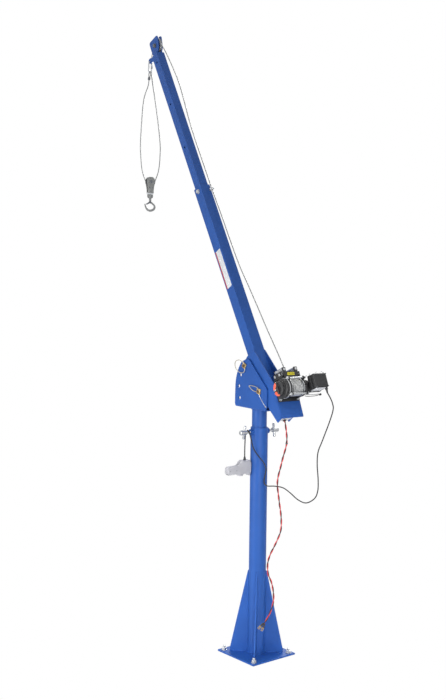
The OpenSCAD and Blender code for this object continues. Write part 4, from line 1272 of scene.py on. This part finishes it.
# %% Weld the boom
boom_welds = bmesh.new()
for side in (-1, 1):
    for low, high, radius in (
        ((50.4, side * 33, -58), (50.4, side * 33, 203), 2.2),
        ((-13.6, side * 32.6, 42), (-13.6, side * 32.6, 200), 2.0),
        ((-12, side * 32.4, 205.6), (50, side * 32.4, 205.6), 2.2),
        ((-7, side * 15.4, 2110), (44, side * 15.4, 2110), 1.8),
    ):
        bead(boom_welds, [low, high], radius)
tail = Matrix.Translation(tail_corner) @ turned(winch_lean, "Y")
for along in (-36.4, 36.6):
    bead(boom_welds, [tail @ Vector((-6.6, along, z)) for z in (4, 183)], 2.2)
weld_boom = new_piece("welds_boom", boom_welds, blue_paint, "boom", boom_mm)
print("boom beads:", len(weld_boom.data.polygons), "faces")

# %% [markdown]
# ## The hook block
# Two pressed cheeks hold the sheave, and a pale crosshead joins them below it. The
# swivel under it is turned, so its outline is spun. The cheeks are one outline each,
# extruded to the plate's thickness and bevelled.

# %% Press the cheeks
right_edge = [
    (9, 28.4), (16.5, 25), (22, 18), (25, 9), (24.6, 0), (23, -10), (19.4, -30), (17.2, -46),
    (17, -63), (15, -65),
]
cheek_points = right_edge + [(-x, y) for x, y in reversed(right_edge)]
pressing = [(x * 0.55, y * 0.55 - 9) for x, y in cheek_points]
grey_block = finish_material(
    "grey_block", (136, 137, 134), (0.4, 0.55), 0.25, shade=0.1, grain=500, bump=0.15
)
cheeks = bmesh.new()
for low, face_low in ((-16, -16.5), (11, 15.5)):
    plate_outline(cheeks, cheek_points, low, 5, front_view, 1.1)
    plate_outline(cheeks, pressing, face_low, 1, front_view, 0.4, 1)
new_piece(
    "block_plates", cheeks, grey_block, "hook_block", block_mm, replaced=["block_cheeks"],
    slot="dark_steel",
)
crosshead = bmesh.new()
block(crosshead, (-16, -11, -71.8), (16, 11, -60), 1.2)
block(crosshead, (-16.4, -16.2, -71.8), (16.4, 16.2, -65.2), 0.9)
new_piece("block_crosshead", crosshead, label_white, "hook_block", block_mm, slot="pale_steel")
block_bolts = bmesh.new()
through_bolt(block_bolts, 0, 0, 16, 8)
for across, up in ((-9, -34), (9, -34), (0, -54)):
    for side in (-1, 1):
        rivet = facing((across, side * 16, up), (0, side, 0))
        disc(block_bolts, rivet, 3.4, 0, 2, 22, soft=0.9)
    disc(block_bolts, facing((across, 0, up), (0, 1, 0)), 2.2, -11, 11, 16, soft=0)
new_piece("block_bolts", block_bolts, dark_steel, "hook_block", block_mm)
print("cheeks are", round(65 + 28.4), "mm high")

# %% Turn the swivel
swivel_mm = Matrix.Translation(joint_place("hook_swivel")) @ turned(block_turn, "Z") @ crane_mm
swivel = bmesh.new()
spin_outline(
    swivel,
    [(0, -36), (6.3, -36), (7, -35), (7, -24), (9, -22.4), (13.4, -20.6), (15, -19.2),
     (15.4, -15.4), (16.4, -14.4), (16.8, -4), (16.2, -1.6), (14.6, -0.6), (7, -0.5), (7, 11),
     (6, 12), (0, 12)],
    Matrix(), 56,
)
for notch in range(10):
    block(swivel, (14.6, -1.6, -13), (17.6, 1.6, -4), 0.6, place=turned(36 * notch, "Z"))
new_piece(
    "swivel_head", swivel, forged_steel, "swivel_hook", swivel_mm, replaced=["block_swivel"],
    slot="zinc",
)
print("swivel is", round(2 * 16.8), "mm across")

# %% [markdown]
# ## The hook
# A hook is forged from one bar: round at the shank, thickest where the load hangs, and
# drawn out to a blunt tip. It is a circle swept round the bowl with a radius that grows
# and shrinks, then pressed a little flatter, as a drop forging is.

# %% Forge the hook
hook_line = smooth_path([
    (0, 0, -0.1), (0, 0, -3), (0, 0, -6), (3, 0, -10), (13, 0, -15.5), (23.5, 0, -25.5),
    (27, 0, -37.5), (20, 0, -50.5), (1.5, 0, -57.5), (-15, 0, -52.5), (-24.5, 0, -40),
    (-29.5, 0, -28), (-32, 0, -20),
], 6)
thickness = smooth_path([
    (r, 0, 0) for r in (1, 1, 1, 0.95, 0.85, 0.85, 0.92, 1, 1, 0.95, 0.8, 0.65, 0.45)
], 6)
hook_radii = [6.5 * point.x for point in thickness] + [2.2, 1.0]
tip_ahead = (hook_line[-1] - hook_line[-2]).normalized()
hook_line += [hook_line[-1] + tip_ahead * 1.2, hook_line[-1] + tip_ahead * 1.9]
forging = bmesh.new()
taper(forging, hook_line, hook_radii)
bmesh.ops.scale(forging, vec=(1, 0.88, 1), verts=forging.verts)
disc(forging, facing((0, 0, -8), (0, 1, 0)), 4.4, -7, 7, soft=0.9)
hook_mm = swivel_mm @ Matrix.Translation((0, 0, -36))
new_piece("hook_forging", forging, forged_steel, "swivel_hook", hook_mm, replaced=["hook"])
print("thickest part:", 2 * max(hook_radii), "mm")

# %% Fold the latch
latch_mm = hook_mm @ Matrix.Translation((0, 0, -8))
latch = bmesh.new()
wing_points = [
    (4, 4), (5, -1), (4.4, -4.4), (-8, -9), (-18.5, -14.5), (-22.6, -13), (-23.5, -9.6),
    (-12, -3), (-2, 3.4),
]
tongue_points = [(-18, -14.6), (-22.4, -13), (-23.3, -9.8), (-13, -3.6), (-12, -5.4), (-20, -10.6)]
for low in (-8.9, 7.3):
    plate_outline(latch, wing_points, low, 1.6, front_view, 0.4, 1)
plate_outline(latch, tongue_points, -8.8, 17.6, front_view, 0.4, 1)
disc(latch, facing((0, 0, 0), (0, 1, 0)), 2.9, -10.2, 10.2, 20, soft=0.7)
sweep(latch, helix(front_view, 3.9, 1.3, 18, 2 * 18, low=-7.1), 0.5, 6)
new_piece("hook_catch", latch, dark_steel, "latch", latch_mm, replaced=["hook_latch"])
print("latch reaches", 24, "mm from its pin")

# %% Close the link
link_mm = Matrix.Translation(link_top) @ turned(link_tilt, "Y") @ crane_mm
sleeve_build = bmesh.new()
disc(sleeve_build, Matrix.Translation((0, 10, -31)), 5.6, -9, 9, 6, soft=0.8)
for up in (-44, -20):
    disc(sleeve_build, Matrix.Translation((0, 10, up)), 4.2, -2, 2)
new_piece("link_sleeve", sleeve_build, zinc_plate, "hook_block", link_mm)
print("link is 62 mm long")

# %% [markdown]
# ## Floor and light
# The crane stands on a plain white floor in soft studio light. A large low lamp on the
# left does most of the work, so the boom's near side is lighter than its back and grows
# darker towards its tip. Others light the winch's side and the back, one with a narrow
# spread lights the base plate, and the sky fills the shadows. The camera sees the floor
# as plain white, while the crane is lit by an ordinary white floor.

# %% Make the floor
floor_mesh = bpy.data.meshes.new("floor")
floor_build = bmesh.new()
bmesh.ops.create_grid(floor_build, x_segments=1, y_segments=1, size=30)
floor_build.to_mesh(floor_mesh)
floor_build.free()
floor = bpy.data.objects.new("floor", floor_mesh)
bpy.context.scene.collection.objects.link(floor)
floor_material, floor_tree, floor_shader = shader_nodes("white_floor")
fill_sockets(floor_tree, floor_shader, {
    "Base Color": (0.9, 0.9, 0.9, 1), "Roughness": 0.9, "Specular IOR Level": 0.1,
})
floor_mix = add_node(floor_tree, "MixShader")
fill_sockets(floor_tree, floor_mix, {
    0: add_node(floor_tree, "LightPath").outputs["Is Camera Ray"],
    1: floor_shader.outputs[0],
    2: add_node(floor_tree, "Emission").outputs[0],
})
fill_sockets(
    floor_tree, floor_tree.nodes["Material Output"], {"Surface": floor_mix.outputs[0]}
)
floor.data.materials.append(floor_material)
print("floor is", 2 * 30, "m across")

# %% Light the sky
world = bpy.data.worlds.new("studio")
bpy.context.scene.world = world
world.use_nodes = True
world_tree = world.node_tree
world_tree.nodes.clear()
path_kind = add_node(world_tree, "LightPath").outputs
seen = path_kind["Is Camera Ray"]
for kind in ("Is Glossy Ray", "Is Transmission Ray"):
    either = add_node(world_tree, "Math")
    either.operation = "ADD"
    either.use_clamp = True
    fill_sockets(world_tree, either, {0: seen, 1: path_kind[kind]})
    seen = either.outputs[0]
sky = add_node(world_tree, "Background", Color=(0.92, 0.95, 1.0, 1), Strength=0.42)
white = add_node(world_tree, "Background", Color=(1, 1, 1, 1), Strength=1.0)
mix_sky = add_node(world_tree, "MixShader")
fill_sockets(world_tree, mix_sky, {0: seen, 1: sky.outputs[0], 2: white.outputs[0]})
add_node(world_tree, "OutputWorld", Surface=mix_sky.outputs[0])
print("the sky is white to the camera and in reflections")


# %% Light the crane
def area_lamp(name, place, target, size, power):
    """A soft square lamp that faces a point."""
    lamp = bpy.data.lights.new(name, "AREA")
    lamp.size = size
    lamp.energy = power
    lamp_object = bpy.data.objects.new(name, lamp)
    bpy.context.scene.collection.objects.link(lamp_object)
    lamp_object.location = place
    aim = Vector(target) - Vector(place)
    lamp_object.rotation_euler = aim.to_track_quat("-Z", "Y").to_euler()
    return lamp


area_lamp("key", (-0.2, -3.6, 0.7), (0, 0, 0.7), 2.2, 73)
area_lamp("fill", (3.8, -1.6, 0.5), (0, 0, 0.8), 2.0, 82)
area_lamp("rim", (-3.0, 4.0, 4.5), (0, 0, 1.0), 3.0, 220)
base_lamp = area_lamp("base", (1.5, -1.2, 3.0), (0, 0, 0), 0.6, 2.2)
base_lamp.spread = math.radians(40)
bpy.context.scene.view_settings.view_transform = "Standard"
print("lamps:", len(bpy.data.lights))
